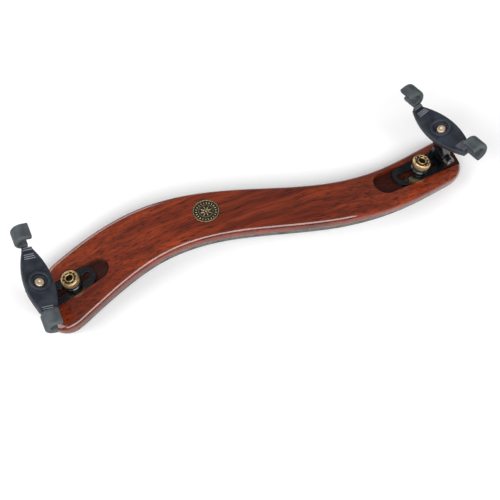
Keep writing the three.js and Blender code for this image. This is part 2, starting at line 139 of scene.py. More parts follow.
@dataclass(frozen=True)
class EndPlaces:
    """The local frames of one end.

    Attributes:
        channel: At the stud, X out along the channel and Z out of the body's top face.
        bracket: At the hinge pin, with the channel's directions.
        head: At the foot of the screw's axis, Z up the screw.
        fork: As the head, but turned so that Y runs along the fork, from one claw to the other.
    """

    channel: Place
    bracket: Place
    head: Place
    fork: Place

    @staticmethod
    def of(side: Side) -> "EndPlaces":
        """Work out the frames of one end from its joints.

        Args:
            side: Which end.

        Returns:
            The end's frames.
        """
        name = side.value
        spin, slide, fold, turn = (joint(f"{name}_{motion}") for motion in
                                   ("nut_spin", "bracket_slide", "foot_fold", "fork_turn"))
        up, out, hinge, rise = (Vector(j["axis"]).normalized() for j in (spin, slide, fold, turn))
        channel = Place.of(Vector(spin["pos_m"]), out, up.cross(out), up)
        bracket = Place.of(Vector(fold["pos_m"]), out, up.cross(out), up)
        base = Vector(turn["pos_m"]) - rise * (FORK_JOINT_HEIGHT * MM)
        across = rise.cross(hinge).normalized()
        head = Place.of(base, across, rise.cross(across), rise)
        span = middle(f"{name}_rubber_cover_far") - middle(f"{name}_rubber_cover_near")
        span = span if side is Side.RIGHT else -span
        long = (span - rise * span.dot(rise)).normalized()
        fork = Place.of(base, long.cross(rise), long, rise)
        return EndPlaces(channel, bracket, head, fork)


# ---------------------------------------------------------------- meshes


@dataclass
class Shell:
    """Points in local millimetres and the faces between them."""

    points: list[Point] = field(default_factory=list)
    faces: list[tuple[int, ...]] = field(default_factory=list)

    def add(self, other: "Shell") -> "Shell":
        """Take in another shell's points and faces."""
        start = len(self.points)
        self.points += other.points
        self.faces += [tuple(start + i for i in face) for face in other.faces]
        return self

    def ring(self, points: Iterable[Point]) -> list[int]:
        """Add points and return their numbers."""
        start = len(self.points)
        self.points += [tuple(p) for p in points]
        return list(range(start, len(self.points)))

    def join(self, a: Sequence[int], b: Sequence[int], closed: bool = True) -> None:
        """Put a strip of quads between two rings of the same length."""
        count = len(a)
        for i in range(count if closed else count - 1):
            k = (i + 1) % count
            self.faces.append((a[i], a[k], b[k], b[i]))

    def map(self, move: Callable[[Point], Point]) -> "Shell":
        """The same shell with each point moved by a function."""
        return Shell([tuple(move(p)) for p in self.points], list(self.faces))


def lathe(corners: Sequence[Flat], segments: int = 64, loop: bool = False) -> Shell:
    """Turn a half section about Z.

    Args:
        corners: Radius and height of each corner, from the bottom up the outside. Radius 0 is a pole.
        segments: Steps round the axis.
        loop: Whether the section closes on itself, as for a ring.

    Returns:
        The turned shell.
    """
    shell = Shell()
    rings = []
    for radius, height in corners:
        if radius == 0:
            rings.append(shell.ring([(0.0, 0.0, height)]))
            continue
        angles = [2 * math.pi * i / segments for i in range(segments)]
        rings.append(shell.ring((radius * math.cos(a), radius * math.sin(a), height) for a in angles))
    pairs = list(zip(rings, rings[1:]))
    if loop:
        pairs.append((rings[-1], rings[0]))
    for low, high in pairs:
        if len(low) == 1 and len(high) > 1:
            shell.faces += [(low[0], high[(i + 1) % segments], high[i]) for i in range(segments)]
        elif len(high) == 1 and len(low) > 1:
            shell.faces += [(low[i], low[(i + 1) % segments], high[0]) for i in range(segments)]
        else:
            shell.join(low, high)
    return shell


def rounded(corners: Sequence[Flat], radius: float, steps: int = 3, loop: bool = False) -> list[Flat]:
    """Round the corners of a half section.

    Args:
        corners: The section's corners.
        radius: The largest rounding; each corner gets at most MOST_OF_SIDE of its shorter side.
        steps: Points added for each corner.
        loop: Whether the section closes on itself.

    Returns:
        The rounded section.
    """
    out: list[Flat] = []
    count = len(corners)
    for i, corner in enumerate(corners):
        if not loop and i in (0, count - 1):
            out.append(corner)
            continue
        here = Vector(corner)
        back, ahead = Vector(corners[i - 1]) - here, Vector(corners[(i + 1) % count]) - here
        reach = min(radius, MOST_OF_SIDE * back.length, MOST_OF_SIDE * ahead.length)
        start, end = here + back.normalized() * reach, here + ahead.normalized() * reach
        for k in range(steps + 1):
            t = k / steps
            spot = start * (1 - t) ** 2 + here * (2 * t * (1 - t)) + end * t**2
            out.append((spot.x, spot.y))
    return out


def inset(outline: Sequence[Flat], amount: float) -> list[Flat]:
    """Draw a closed outline in by an amount, along the bisector at each point."""
    count = len(outline)
    out = []
    for i, corner in enumerate(outline):
        here, back, ahead = Vector(corner), Vector(outline[i - 1]), Vector(outline[(i + 1) % count])
        a, b = (here - back).normalized(), (ahead - here).normalized()
        normal = Vector((-(a.y + b.y), a.x + b.x))
        if normal.length < 1e-6:
            normal = Vector((-a.y, a.x))
        normal.normalize()
        lean = max(LEAST_LEAN, normal.dot(Vector((-a.y, a.x))))
        spot = here + normal * (amount / lean)
        out.append((spot.x, spot.y))
    return out


def roll(start: float, end: float, radius: float, steps: int, top: bool) -> list[Flat]:
    """Insets and heights of a rounded rim.

    Args:
        start: Height where the rounding starts.
        end: Height where it ends.
        radius: How far it is drawn in.
        steps: Steps of the rounding.
        top: Whether the rim is at the top, else at the bottom.

    Returns:
        Pairs of inset and height, lowest first.
    """
    out = []
    for k in range(steps + 1):
        sine, cosine = math.sin(math.pi / 2 * k / steps), math.cos(math.pi / 2 * k / steps)
        drawn_in, share = (1 - cosine, sine) if top else (1 - sine, 1 - cosine)
        out.append((radius * drawn_in, start + (end - start) * share))
    return out


def slab(outline: Sequence[Flat], low: float, high: float, top: float = 0.0, bottom: float = 0.0,
         steps: int = 4) -> Shell:
    """Raise a closed, counter-clockwise outline, with rounded rims.

    Args:
        outline: The plan.
        low: Height of the bottom.
        high: Height of the top.
        top: Rounding of the top rim.
        bottom: Rounding of the bottom rim.
        steps: Steps of each rounding.

    Returns:
        The raised shell.
    """
    shell = Shell()
    levels: list[Flat] = []
    for k in range(steps + 1 if bottom else 1):
        angle = math.pi / 2 * k / steps
        levels.append((bottom * (1 - math.sin(angle)), low + bottom * (1 - math.cos(angle))))
    for k in range(steps + 1 if top else 1):
        angle = math.pi / 2 * k / steps
        levels.append((top * (1 - math.cos(angle)), high - top * (1 - math.sin(angle))))
    rings = []
    for amount, height in levels:
        drawn = inset(outline, amount) if amount else outline
        rings.append(shell.ring((x, y, height) for x, y in drawn))
    for a, b in zip(rings, rings[1:]):
        shell.join(a, b)
    shell.faces.append(tuple(reversed(rings[0])))
    shell.faces.append(tuple(rings[-1]))
    return shell


def arc(x: float, y: float, radius: float, start: float, end: float, steps: int) -> list[Flat]:
    """Points along a circular arc, with its angles in degrees."""
    angles = [math.radians(start + (end - start) * i / steps) for i in range(steps + 1)]
    return [(x + radius * math.cos(a), y + radius * math.sin(a)) for a in angles]


def rounded_box(half_x: float, half_y: float, corner: float, steps: int = 6) -> list[Flat]:
    """A rounded rectangle's outline round the origin."""
    out: list[Flat] = []
    for i, (sx, sy) in enumerate(((1, 1), (-1, 1), (-1, -1), (1, -1))):
        out += arc(sx * (half_x - corner), sy * (half_y - corner), corner, 90 * i, 90 * i + 90, steps)
    return out


def linked(name: str, data: bpy.types.ID) -> bpy.types.Object:
    """Make an object of a mesh, a light or a camera, and link it to the scene."""
    obj = bpy.data.objects.new(name, data)
    bpy.context.scene.collection.objects.link(obj)
    return obj


def mesh_object(name: str, shell: Shell, place: Place | None = None) -> bpy.types.Object:
    """Make an object of a shell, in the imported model's frame, with its normals outwards.

    Args:
        name: The object's name.
        shell: Points and faces.
        place: The local frame they are drawn in; None if they are in metres already.

    Returns:
        The object, linked to the scene.
    """
    mesh = bpy.data.meshes.new(name)
    mesh.from_pydata(shell.points, [], shell.faces)
    if place is not None:
        mesh.transform(place.matrix)
    work = bmesh.new()
    work.from_mesh(mesh)
    bmesh.ops.remove_doubles(work, verts=work.verts, dist=SAME_POINT)
    bmesh.ops.recalc_face_normals(work, faces=work.faces)
    work.to_mesh(mesh)
    work.free()
    return linked(name, mesh)


def bake(obj: bpy.types.Object) -> bpy.types.Object:
    """Apply an object's modifiers to its mesh and remove them."""
    bpy.context.view_layer.update()
    graph = bpy.context.evaluated_depsgraph_get()
    made = bpy.data.meshes.new_from_object(obj.evaluated_get(graph), preserve_all_data_layers=True,
                                           depsgraph=graph)
    obj.modifiers.clear()
    obj.data = made
    return obj


def combine(obj: bpy.types.Object, other: bpy.types.Object, operation: str) -> bpy.types.Object:
    """Cut or join another closed object into this one.

    Args:
        obj: The object that is changed.
        other: The cutter or addition, which is removed.
        operation: DIFFERENCE or UNION.

    Returns:
        The changed object.
    """
    step = obj.modifiers.new("combine", "BOOLEAN")
    step.operation = operation
    step.solver = "EXACT"
    step.object = other
    bake(obj)
    bpy.data.objects.remove(other)
    return obj


def clean(obj: bpy.types.Object, merge: float = 1e-6, flat: float = 0.4) -> bpy.types.Object:
    """Merge doubled points and dissolve the edges that lie in one plane.

    Args:
        obj: The object.
        merge: Merge distance in metres.
        flat: Largest angle in degrees that counts as one plane.

    Returns:
        The object.
    """
    work = bmesh.new()
    work.from_mesh(obj.data)
    bmesh.ops.remove_doubles(work, verts=work.verts, dist=merge)
    bmesh.ops.dissolve_limit(work, angle_limit=math.radians(flat), verts=work.verts, edges=work.edges)
    work.to_mesh(obj.data)
    work.free()
    return obj


def soften(obj: bpy.types.Object, width: float = 0.0, steps: int = 2,
           angle: float = 35.0) -> bpy.types.Object:
    """Round the hard edges and shade the piece smoothly.

    Args:
        obj: The object.
        width: Width of the rounding in millimetres, or 0 for none.
        steps: Segments of the rounding.
        angle: Edges sharper than this, in degrees, are rounded.

    Returns:
        The object.
    """
    if width:
        bevel = obj.modifiers.new("round", "BEVEL")
        bevel.width = width * MM
        bevel.segments = steps
        bevel.limit_method = "ANGLE"
        bevel.angle_limit = math.radians(angle)
        bevel.use_clamp_overlap = True
    weigh = obj.modifiers.new("weigh", "WEIGHTED_NORMAL")
    weigh.keep_sharp = True
    obj.data.shade_smooth()
    if not width:
        obj.data.set_sharp_from_angle(angle=math.radians(angle))
    return bake(obj)


def turned_piece(name: str, corners: Sequence[Flat], rounding: float, steps: int, segments: int,
                 place: Place, loop: bool = False) -> bpy.types.Object:
    """Make a smooth piece of a half section turned about Z.

    Args:
        name: The object's name.
        corners: The half section, before its corners are rounded.
        rounding: The largest rounding.
        steps: Points added for each corner.
        segments: Steps round the axis.
        place: The local frame.
        loop: Whether the section closes on itself, as for a ring.

    Returns:
        The object.
    """
    section = rounded(corners, rounding, steps, loop)
    return soften(mesh_object(name, lathe(section, segments, loop), place))


def two_tone(obj: bpy.types.Object, first: bpy.types.Material, second: bpy.types.Material,
             in_second: Callable[[Vector], bool]) -> None:
    """Give a piece two finishes, the second where the middle of a face passes a test."""
    obj.data.materials.clear()
    for material in (first, second):
        obj.data.materials.append(material)
    for face in obj.data.polygons:
        face.material_index = int(in_second(face.center))


def dress(obj: bpy.types.Object, material: bpy.types.Material, body: str,
          replaces: Sequence[str] = ()) -> bpy.types.Object:
    """Give a piece its finish, its body and the CAD nodes that it stands for.

    Args:
        obj: The piece.
        material: Its finish; kept if the piece has materials already.
        body: The CAD body that it rides on.
        replaces: The CAD nodes that it replaces.

    Returns:
        The piece.
    """
    if not [m for m in obj.data.materials if m]:
        obj.data.materials.clear()
        obj.data.materials.append(material)
    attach(obj, body)
    if replaces:
        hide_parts(*replaces)
    log.info("%s rides on %s (%d faces)", obj.name, body, len(obj.data.polygons))
    return obj


def cad_copy(name: str, node: str) -> bpy.types.Object:
    """A merged copy of a CAD node's mesh, ready to be finished."""
    mesh = frame["nodes"][node].data.copy()
    mesh.materials.clear()
    return clean(linked(name, mesh), COPY_POINT, COPY_FLAT)


# ---------------------------------------------------------------- repeated shapes, by Geometry Nodes


class Nodes:
    """A small writer for node trees of either kind."""

    def __init__(self, tree: bpy.types.NodeTree) -> None:
        """Keep the tree to write into."""
        self.tree = tree

    def add(self, kind: str, **settings: object) -> bpy.types.Node:
        """Add a node and set its properties."""
        node = self.tree.nodes.new(kind)
        for key, value in settings.items():
            setattr(node, key, value)
        return node

    def fill(self, socket: bpy.types.NodeSocket, value: object) -> None:
        """Wire another socket into this one, or set its number."""
        if isinstance(value, bpy.types.NodeSocket):
            self.tree.links.new(value, socket)
        elif value is not None:
            socket.default_value = value

    def feed(self, node: bpy.types.Node, **values: object) -> bpy.types.Node:
        """Fill a node's inputs, by name with spaces as underscores, and return the node."""
        for label, value in values.items():
            self.fill(node.inputs[label.replace("_", " ")], value)
        return node

    def fill_all(self, node: bpy.types.Node, values: Sequence[object]) -> bpy.types.NodeSocket:
        """Fill a node's first inputs in order and return its first output."""
        for socket, value in zip(node.inputs, values):
            self.fill(socket, value)
        return node.outputs[0]

    def math(self, operation: str, a: object, b: object = None,
             clamp: bool = False) -> bpy.types.NodeSocket:
        """Add a Math node on two sockets or numbers and return its output."""
        return self.fill_all(self.add("ShaderNodeMath", operation=operation, use_clamp=clamp), (a, b))

    def vector(self, x: object, y: object, z: object) -> bpy.types.NodeSocket:
        """Add a Combine XYZ node on three sockets or numbers and return its output."""
        return self.fill_all(self.add("ShaderNodeCombineXYZ"), (x, y, z))

    def noise(self, low: float, high: float, **values: object) -> bpy.types.NodeSocket:
        """Add a noise texture whose values from low to high are spread over 0 to 1."""
        noise = self.feed(self.add("ShaderNodeTexNoise"), **values)
        spread = self.add("ShaderNodeMapRange", clamp=True)
        self.feed(spread, From_Min=low, From_Max=high, Value=noise.outputs["Fac"])
        return spread.outputs["Result"]

    def copies(self, points: bpy.types.NodeSocket, shape: bpy.types.NodeSocket, angle: object,
               size: object) -> bpy.types.NodeSocket:
        """Put a turned and scaled copy of a shape on each point.

        Args:
            points: The geometry with the points.
            shape: The shape.
            angle: Its Euler angles, as a socket or three numbers.
            size: Its scale.

        Returns:
            The instances.
        """
        rotation = self.fill_all(self.add("FunctionNodeEulerToRotation"), (angle,))
        place = self.add("GeometryNodeInstanceOnPoints")
        self.feed(place, Points=points, Instance=shape, Rotation=rotation, Scale=size)
        return place.outputs[0]

    def lifted(self, shape: bpy.types.NodeSocket, height: bpy.types.NodeSocket) -> bpy.types.NodeSocket:
        """Move a geometry up along Z."""
        lift = self.feed(self.add("GeometryNodeTransform"), Geometry=shape,
                         Translation=self.vector(0.0, 0.0, height))
        return lift.outputs[0]


def geometry_tree(name: str, inputs: Sequence[tuple[str, object]]) -> tuple[
        Nodes, bpy.types.bpy_prop_collection]:
    """Start a geometry tree with named number inputs and a Material input.

    Args:
        name: The tree's name.
        inputs: Name and default of each input; a whole number makes a whole-number input.

    Returns:
        The tree's writer and its inputs' values.
    """
    tree = bpy.data.node_groups.new(name, "GeometryNodeTree")
    tree.interface.new_socket("Geometry", in_out="INPUT", socket_type="NodeSocketGeometry")
    for label, default in inputs:
        kind = WHOLE if isinstance(default, int) else "NodeSocketFloat"
        tree.interface.new_socket(label, in_out="INPUT", socket_type=kind).default_value = default
    tree.interface.new_socket("Material", in_out="INPUT", socket_type="NodeSocketMaterial")
    tree.interface.new_socket("Geometry", in_out="OUTPUT", socket_type="NodeSocketGeometry")
    writer = Nodes(tree)
    return writer, writer.add("NodeGroupInput").outputs


def finish_tree(writer: Nodes, material: bpy.types.NodeSocket, result: bpy.types.NodeSocket) -> None:
    """End a geometry tree in Realize Instances and Set Material."""
    real = writer.fill_all(writer.add("GeometryNodeRealizeInstances"), (result,))
    paint = writer.feed(writer.add("GeometryNodeSetMaterial"), Geometry=real, Material=material)
    writer.feed(writer.add("NodeGroupOutput"), Geometry=paint.outputs[0])


WHOLE = "NodeSocketInt"


def ring_tree() -> bpy.types.NodeTree:
    """Copies of a small rounded stud round a circle, sized along the radius, round it and up Z."""
    w, given = geometry_tree("ring_of_marks", [
        ("Count", 24), ("Radius", 5.0), ("Height", 0.0), ("Size Radial", 0.5), ("Size Round", 0.5),
        ("Size Up", 0.5), ("Sides", 8), ("Rings", 6),
    ])
    circle = w.feed(w.add("GeometryNodeMeshCircle", fill_type="NONE"), Vertices=given["Count"],
                    Radius=given["Radius"])
    stud = w.feed(w.add("GeometryNodeMeshUVSphere"), Segments=given["Sides"], Rings=given["Rings"],
                  Radius=0.5)
    step = w.math("DIVIDE", 2 * math.pi, given["Count"])
    angle = w.math("MULTIPLY", w.add("GeometryNodeInputIndex").outputs[0], step)
    size = w.vector(given["Size Radial"], given["Size Round"], given["Size Up"])
    ring = w.copies(circle.outputs[0], stud.outputs["Mesh"], w.vector(0.0, 0.0, angle), size)
    finish_tree(w, given["Material"], w.lifted(ring, given["Height"]))
    return w.tree


def thread_tree() -> bpy.types.NodeTree:
    """A screw thread: a four-sided strand wound round the Z axis."""
    w, given = geometry_tree("screw_thread", [
        ("Turns", 8.0), ("Radius", 2.3), ("Pitch", 0.8), ("Start", 0.0), ("Depth", 0.35), ("Steps", 24),
    ])
    spiral = w.feed(w.add("GeometryNodeCurveSpiral"), Resolution=given["Steps"],
                    Rotations=given["Turns"], Start_Radius=given["Radius"], End_Radius=given["Radius"],
                    Height=w.math("MULTIPLY", given["Turns"], given["Pitch"]))
    profile = w.feed(w.add("GeometryNodeCurvePrimitiveCircle", mode="RADIUS"), Resolution=4,
                     Radius=given["Depth"])
    strand = w.feed(w.add("GeometryNodeCurveToMesh"), Curve=spiral.outputs[0],
                    Profile_Curve=profile.outputs["Curve"], Fill_Caps=True)
    finish_tree(w, given["Material"], w.lifted(strand.outputs[0], given["Start"]))
    return w.tree


def rib_tree() -> bpy.types.NodeTree:
    """A row of cross ribs along Y, each with a rounded top, that narrow from the first to the last."""
    w, given = geometry_tree("row_of_ribs", [
        ("Count", 4), ("Start", 0.0), ("Pitch", 1.2), ("Height", 0.0), ("Length", 5.0), ("Taper", 0.1),
        ("Thickness", 0.5), ("Middle", 0.0),
    ])
    line = w.feed(w.add("GeometryNodeMeshLine", mode="OFFSET"), Count=given["Count"],
                  Start_Location=w.vector(given["Middle"], given["Start"], given["Height"]),
                  Offset=w.vector(0.0, given["Pitch"], 0.0))
    rib = w.feed(w.add("GeometryNodeMeshCylinder", fill_type="NGON"), Vertices=10, Radius=0.5, Depth=1.0)
    shorter = w.math("MULTIPLY", w.add("GeometryNodeInputIndex").outputs[0], given["Taper"])
    length = w.math("MULTIPLY", given["Length"], w.math("SUBTRACT", 1.0, shorter))
    size = w.vector(given["Thickness"], given["Thickness"], length)
    row = w.copies(line.outputs[0], rib.outputs["Mesh"], (0.0, math.pi / 2, 0.0), size)
    finish_tree(w, given["Material"], row)
    return w.tree


class Pattern(Enum):
    """The repeated shapes that Geometry Nodes make."""

    RING = "ring_of_marks"
    THREAD = "screw_thread"
    RIBS = "row_of_ribs"


TREES: dict[Pattern, Callable[[], bpy.types.NodeTree]] = {
    Pattern.RING: ring_tree,
    Pattern.THREAD: thread_tree,
    Pattern.RIBS: rib_tree,
}


def repeated(name: str, pattern: Pattern, place: Place, material: bpy.types.Material,
             **values: float) -> bpy.types.Object:
    """Make a plain mesh of repeated shapes.

    Args:
        name: The object's name.
        pattern: Which repeated shape.
        place: The local frame that the sizes are in.
        material: The finish that the tree sets.
        **values: The tree's inputs, by name with spaces as underscores.

    Returns:
        The object, with its modifier baked and removed.
    """
    tree = bpy.data.node_groups.get(pattern.value) or TREES[pattern]()
    obj = linked(name, bpy.data.meshes.new(name))
    step = obj.modifiers.new("repeat", "NODES")
    step.node_group = tree
    given = {label.replace("_", " "): value for label, value in values.items()}
    for item in tree.interface.items_tree:
        if item.item_type != "SOCKET" or item.in_out != "INPUT":
            continue
        if item.name == "Material":
            step[item.identifier] = material
        elif item.name in given:
            whole = item.socket_type == WHOLE
            step[item.identifier] = int(given[item.name]) if whole else float(given[item.name])
    bake(obj)
    obj.data.transform(place.matrix)
    obj.data.shade_smooth()
    obj.data.set_sharp_from_angle(angle=math.radians(CREASE))
    return obj


# ---------------------------------------------------------------- shader groups


def shader_group(name: str, inputs: Sequence[tuple[str, float]], outputs: Sequence[str]) -> tuple[
        Nodes, bpy.types.bpy_prop_collection, bpy.types.Node]:
    """Start a shader group with a Vector input and named number inputs and outputs.

    Args:
        name: The group's name.
        inputs: Name and default of each number input.
        outputs: Names of the number outputs.

    Returns:
        The group's writer, its inputs' values and its output node.
    """
    tree = bpy.data.node_groups.new(name, "ShaderNodeTree")
    tree.interface.new_socket("Vector", in_out="INPUT", socket_type="NodeSocketVector")
    for label, default in inputs:
        socket = tree.interface.new_socket(label, in_out="INPUT", socket_type="NodeSocketFloat")
        socket.default_value = default
    for label in outputs:
        tree.interface.new_socket(label, in_out="OUTPUT", socket_type="NodeSocketFloat")
    writer = Nodes(tree)
    return writer, writer.add("NodeGroupInput").outputs, writer.add("NodeGroupOutput")


def wood_grain_group() -> bpy.types.NodeTree:
    """Broad figure, fine grain lines and short dark pores, all drawn out along X."""
    w, given, out = shader_group("wood_grain", [("Stretch", 26.0), ("Scale", 260.0), ("Sway", 0.5)],
                                 ["Figure", "Grain", "Pores"])
    wander = w.feed(w.add("ShaderNodeTexNoise"), Scale=22.0, Detail=2.0, Vector=given["Vector"])
    split = w.feed(w.add("ShaderNodeSeparateXYZ"), Vector=given["Vector"]).outputs
    most_shift = 0.02  # metres
    shift = w.math("MULTIPLY", w.math("SUBTRACT", wander.outputs["Fac"], 0.5), most_shift)
    across = w.math("ADD", split[1], w.math("MULTIPLY", shift, given["Sway"]))
    drawn = w.vector(w.math("DIVIDE", split[0], given["Stretch"]), across, split[2])
    for name, scale, detail, low, high in (("Figure", 0.4, 3.0, 0.34, 0.68),
                                           ("Grain", 2.2, 4.0, 0.34, 0.68),
                                           ("Pores", 6.0, 2.0, 0.54, 0.68)):
        layer = w.noise(low, high, Vector=drawn, Scale=w.math("MULTIPLY", given["Scale"], scale),
                        Detail=detail, Roughness=0.62)
        w.feed(out, **{name: layer})
    return w.tree


def specks_group() -> bpy.types.NodeTree:
    """Soft patches and small specks, for dust, tarnish and moulded texture."""
    w, given, out = shader_group("dust_and_specks", [("Patch Scale", 120.0), ("Speck Scale", 2200.0)],
                                 ["Patches", "Specks"])
    vector = given["Vector"]
    w.feed(out, Patches=w.noise(0.4, 0.68, Vector=vector, Scale=given["Patch Scale"], Detail=4.0),
           Specks=w.noise(0.5, 0.75, Vector=vector, Scale=given["Speck Scale"], Detail=2.0))
    return w.tree


def edge_rubbing_and_highlight_group() -> bpy.types.NodeTree:
    """A mask that is 1 on outer edges and broken up by noise: worn edges on metal, a painted highlight on
    moulded pieces.
    """
    w, given, out = shader_group("edge_wear", [("Radius", 0.0004), ("Break Up", 900.0), ("Gain", 6.0)],
                                 ["Wear"])
    bevel = w.feed(w.add("ShaderNodeBevel", samples=4), Radius=given["Radius"])
    plain = w.add("ShaderNodeNewGeometry")
    dot = w.add("ShaderNodeVectorMath", operation="DOT_PRODUCT")
    w.fill_all(dot, (bevel.outputs[0], plain.outputs["Normal"]))
    bend = w.math("MULTIPLY", w.math("SUBTRACT", 1.0, dot.outputs["Value"]), given["Gain"], clamp=True)
    noise = w.feed(w.add("ShaderNodeTexNoise"), Vector=given["Vector"], Scale=given["Break Up"])
    broken = w.math("MULTIPLY", noise.outputs["Fac"], 1.6, clamp=True)
    w.feed(out, Wear=w.math("MULTIPLY", bend, broken, clamp=True))
    return w.tree


class Effect(Enum):
    """The shared shader groups."""

    GRAIN = "wood_grain"
    SPECKS = "dust_and_specks"
    WEAR = "edge_wear"


EFFECTS: dict[Effect, Callable[[], bpy.types.NodeTree]] = {
    Effect.GRAIN: wood_grain_group,
    Effect.SPECKS: specks_group,
    Effect.WEAR: edge_rubbing_and_highlight_group,
}

Colour = tuple[float, float, float]


class Paint(Nodes):
    """A material being written: its Principled shader and its object coordinates."""

    def __init__(self, name: str, **sockets: object) -> None:
        """Start a material.

        Args:
            name: The material's name.
            **sockets: Constants of the shader's own sockets, by name with spaces as underscores.
        """
        self.material = bpy.data.materials.new(name)
        self.material.use_nodes = True
        super().__init__(self.material.node_tree)
        self.shader = self.tree.nodes["Principled BSDF"]
        self.feed(self.shader, **sockets)
        self.coords = self.add("ShaderNodeTexCoord").outputs["Object"]

    def effect(self, effect: Effect, **values: float) -> bpy.types.Node:
        """Place a shared group and set its inputs."""
        group = bpy.data.node_groups.get(effect.value) or EFFECTS[effect]()
        return self.feed(self.add("ShaderNodeGroup", node_tree=group), Vector=self.coords, **values)

    def mix(self, mask: bpy.types.NodeSocket, low: object, high: object) -> bpy.types.NodeSocket:
        """Mix two colours, or colour sockets, by a mask."""
        node = self.add("ShaderNodeMix", data_type="RGBA")
        self.feed(node, Factor=mask)
        for label, value in (("A", low), ("B", high)):
            socket = next(s for s in node.inputs if s.name == label and s.type == "RGBA")
            self.fill(socket, value if isinstance(value, bpy.types.NodeSocket) else (*value, 1.0))
        return next(s for s in node.outputs if s.type == "RGBA")

    def range(self, value: bpy.types.NodeSocket, low: float, high: float) -> bpy.types.NodeSocket:
        """Spread a value from 0..1 to low..high."""
        node = self.add("ShaderNodeMapRange", clamp=True)
        return self.feed(node, To_Min=low, To_Max=high, Value=value).outputs["Result"]

    def bump(self, height: bpy.types.NodeSocket, distance: float, strength: float = 1.0) -> None:
        """Raise the surface by a height map, with its distance in millimetres."""
        node = self.add("ShaderNodeBump")
        self.feed(node, Distance=distance * MM, Strength=strength, Height=height)
        self.feed(self.shader, Normal=node.outputs["Normal"])

    def finish(self, colour: bpy.types.NodeSocket,
               roughness: bpy.types.NodeSocket) -> bpy.types.Material:
        """Put the colour and the roughness into the shader and return the material."""
        self.feed(self.shader, Base_Color=colour, Roughness=roughness)
        return self.material


def dimmed(colour: Colour, share: float) -> Colour:
    """A colour with each channel brought down to a share."""
    return tuple(channel * share for channel in colour)


def from_srgb(red: int, green: int, blue: int) -> Colour:
    """A linear colour from 8-bit display values."""
    def lin(value: int) -> float:
        """One channel."""
        share = value / 255
        return share / 12.92 if share <= 0.04045 else ((share + 0.055) / 1.055) ** 2.4
    return lin(red), lin(green), lin(blue)


# ---------------------------------------------------------------- finishes


@dataclass(frozen=True)
class Varnish:
    """High-gloss varnish over red-brown hardwood."""

    light: Colour = from_srgb(152, 60, 26)
    middle: Colour = from_srgb(100, 32, 14)
    dark: Colour = from_srgb(38, 13, 8)
    gloss: float = 0.2
    coat: float = 1.0

    def make(self, name: str = "varnished_wood", shade: float = 1.0) -> bpy.types.Material:
        """Build the material; shade below 1 dims all the wood's tones, as painted shade."""
        light, mid, dark = (dimmed(tone, shade) for tone in (self.light, self.middle, self.dark))
        paint = Paint(name, Coat_Weight=self.coat, Coat_Roughness=0.07, Coat_IOR=1.5,
                      Specular_IOR_Level=0.15)
        grain = paint.effect(Effect.GRAIN).outputs
        base = paint.mix(grain["Figure"], mid, light)
        lined = paint.mix(paint.math("MULTIPLY", grain["Grain"], 0.62), base, dark)
        pored = paint.mix(paint.math("MULTIPLY", grain["Pores"], 0.85), lined, dimmed(dark, 0.4))
        paint.bump(grain["Grain"], 0.03, 0.35)
        return paint.finish(pored, paint.range(grain["Grain"], self.gloss, self.gloss + 0.16))


@dataclass(frozen=True)
class Foam:
    """Dark closed-cell foam with a fine open skin."""

    light: Colour = from_srgb(92, 92, 88)
    dark: Colour = from_srgb(52, 52, 50)

    def make(self, name: str = "pad_foam") -> bpy.types.Material:
        """Build the material."""
        paint = Paint(name, Roughness=0.95, Specular_IOR_Level=0.25, Sheen_Weight=0.15,
                      Sheen_Roughness=0.6)
        specks = paint.effect(Effect.SPECKS, Patch_Scale=260.0, Speck_Scale=1500.0).outputs
        cells = paint.feed(paint.add("ShaderNodeTexVoronoi"), Scale=1400.0, Vector=paint.coords)
        tone = paint.mix(specks["Patches"], self.light, self.dark)
        paint.feed(paint.shader, Base_Color=paint.mix(specks["Specks"], tone, dimmed(self.dark, 0.5)))
        paint.bump(cells.outputs["Distance"], 0.25, 0.7)
        return paint.material


@dataclass(frozen=True)
class Brass:
    """Polished brass with tarnish between its edges."""

    bright: Colour = from_srgb(238, 212, 164)
    tarnish: Colour = from_srgb(150, 120, 76)
    rough: float = 0.3

    def make(self, name: str = "brass") -> bpy.types.Material:
        """Build the material."""
        paint = Paint(name, Metallic=1.0)
        specks = paint.effect(Effect.SPECKS, Patch_Scale=420.0, Speck_Scale=2600.0).outputs
        edge_mask = paint.effect(Effect.WEAR, Radius=0.0003, Gain=5.0).outputs["Wear"]
        patches = paint.math("MULTIPLY", specks["Patches"], 0.75)
        stained = paint.mix(patches, self.bright, self.tarnish)
        paint.bump(specks["Specks"], 0.02, 0.3)
        return paint.finish(paint.mix(edge_mask, stained, self.bright),
                            paint.range(specks["Patches"], self.rough, self.rough + 0.25))


@dataclass(frozen=True)
class Plating:
    """A bright or black plated metal, worn on its edges."""

    base: Colour
    worn: Colour
    metal: float
    rough: float
    coat: float = 0.0

    def make(self, name: str) -> bpy.types.Material:
        """Build the material."""
        paint = Paint(name, Metallic=self.metal, Coat_Weight=self.coat, Coat_Roughness=0.15)
        specks = paint.effect(Effect.SPECKS, Patch_Scale=300.0, Speck_Scale=1800.0).outputs
        edge_mask = paint.effect(Effect.WEAR, Radius=0.00025, Gain=2.5).outputs["Wear"]
        patches = paint.math("MULTIPLY", specks["Patches"], 0.4)
        dulled = paint.mix(patches, self.base, dimmed(self.base, 0.6))
        paint.bump(specks["Specks"], 0.015, 0.25)
        return paint.finish(paint.mix(paint.math("MULTIPLY", edge_mask, 0.6), dulled, self.worn),
                            paint.range(specks["Patches"], self.rough, self.rough + 0.14))


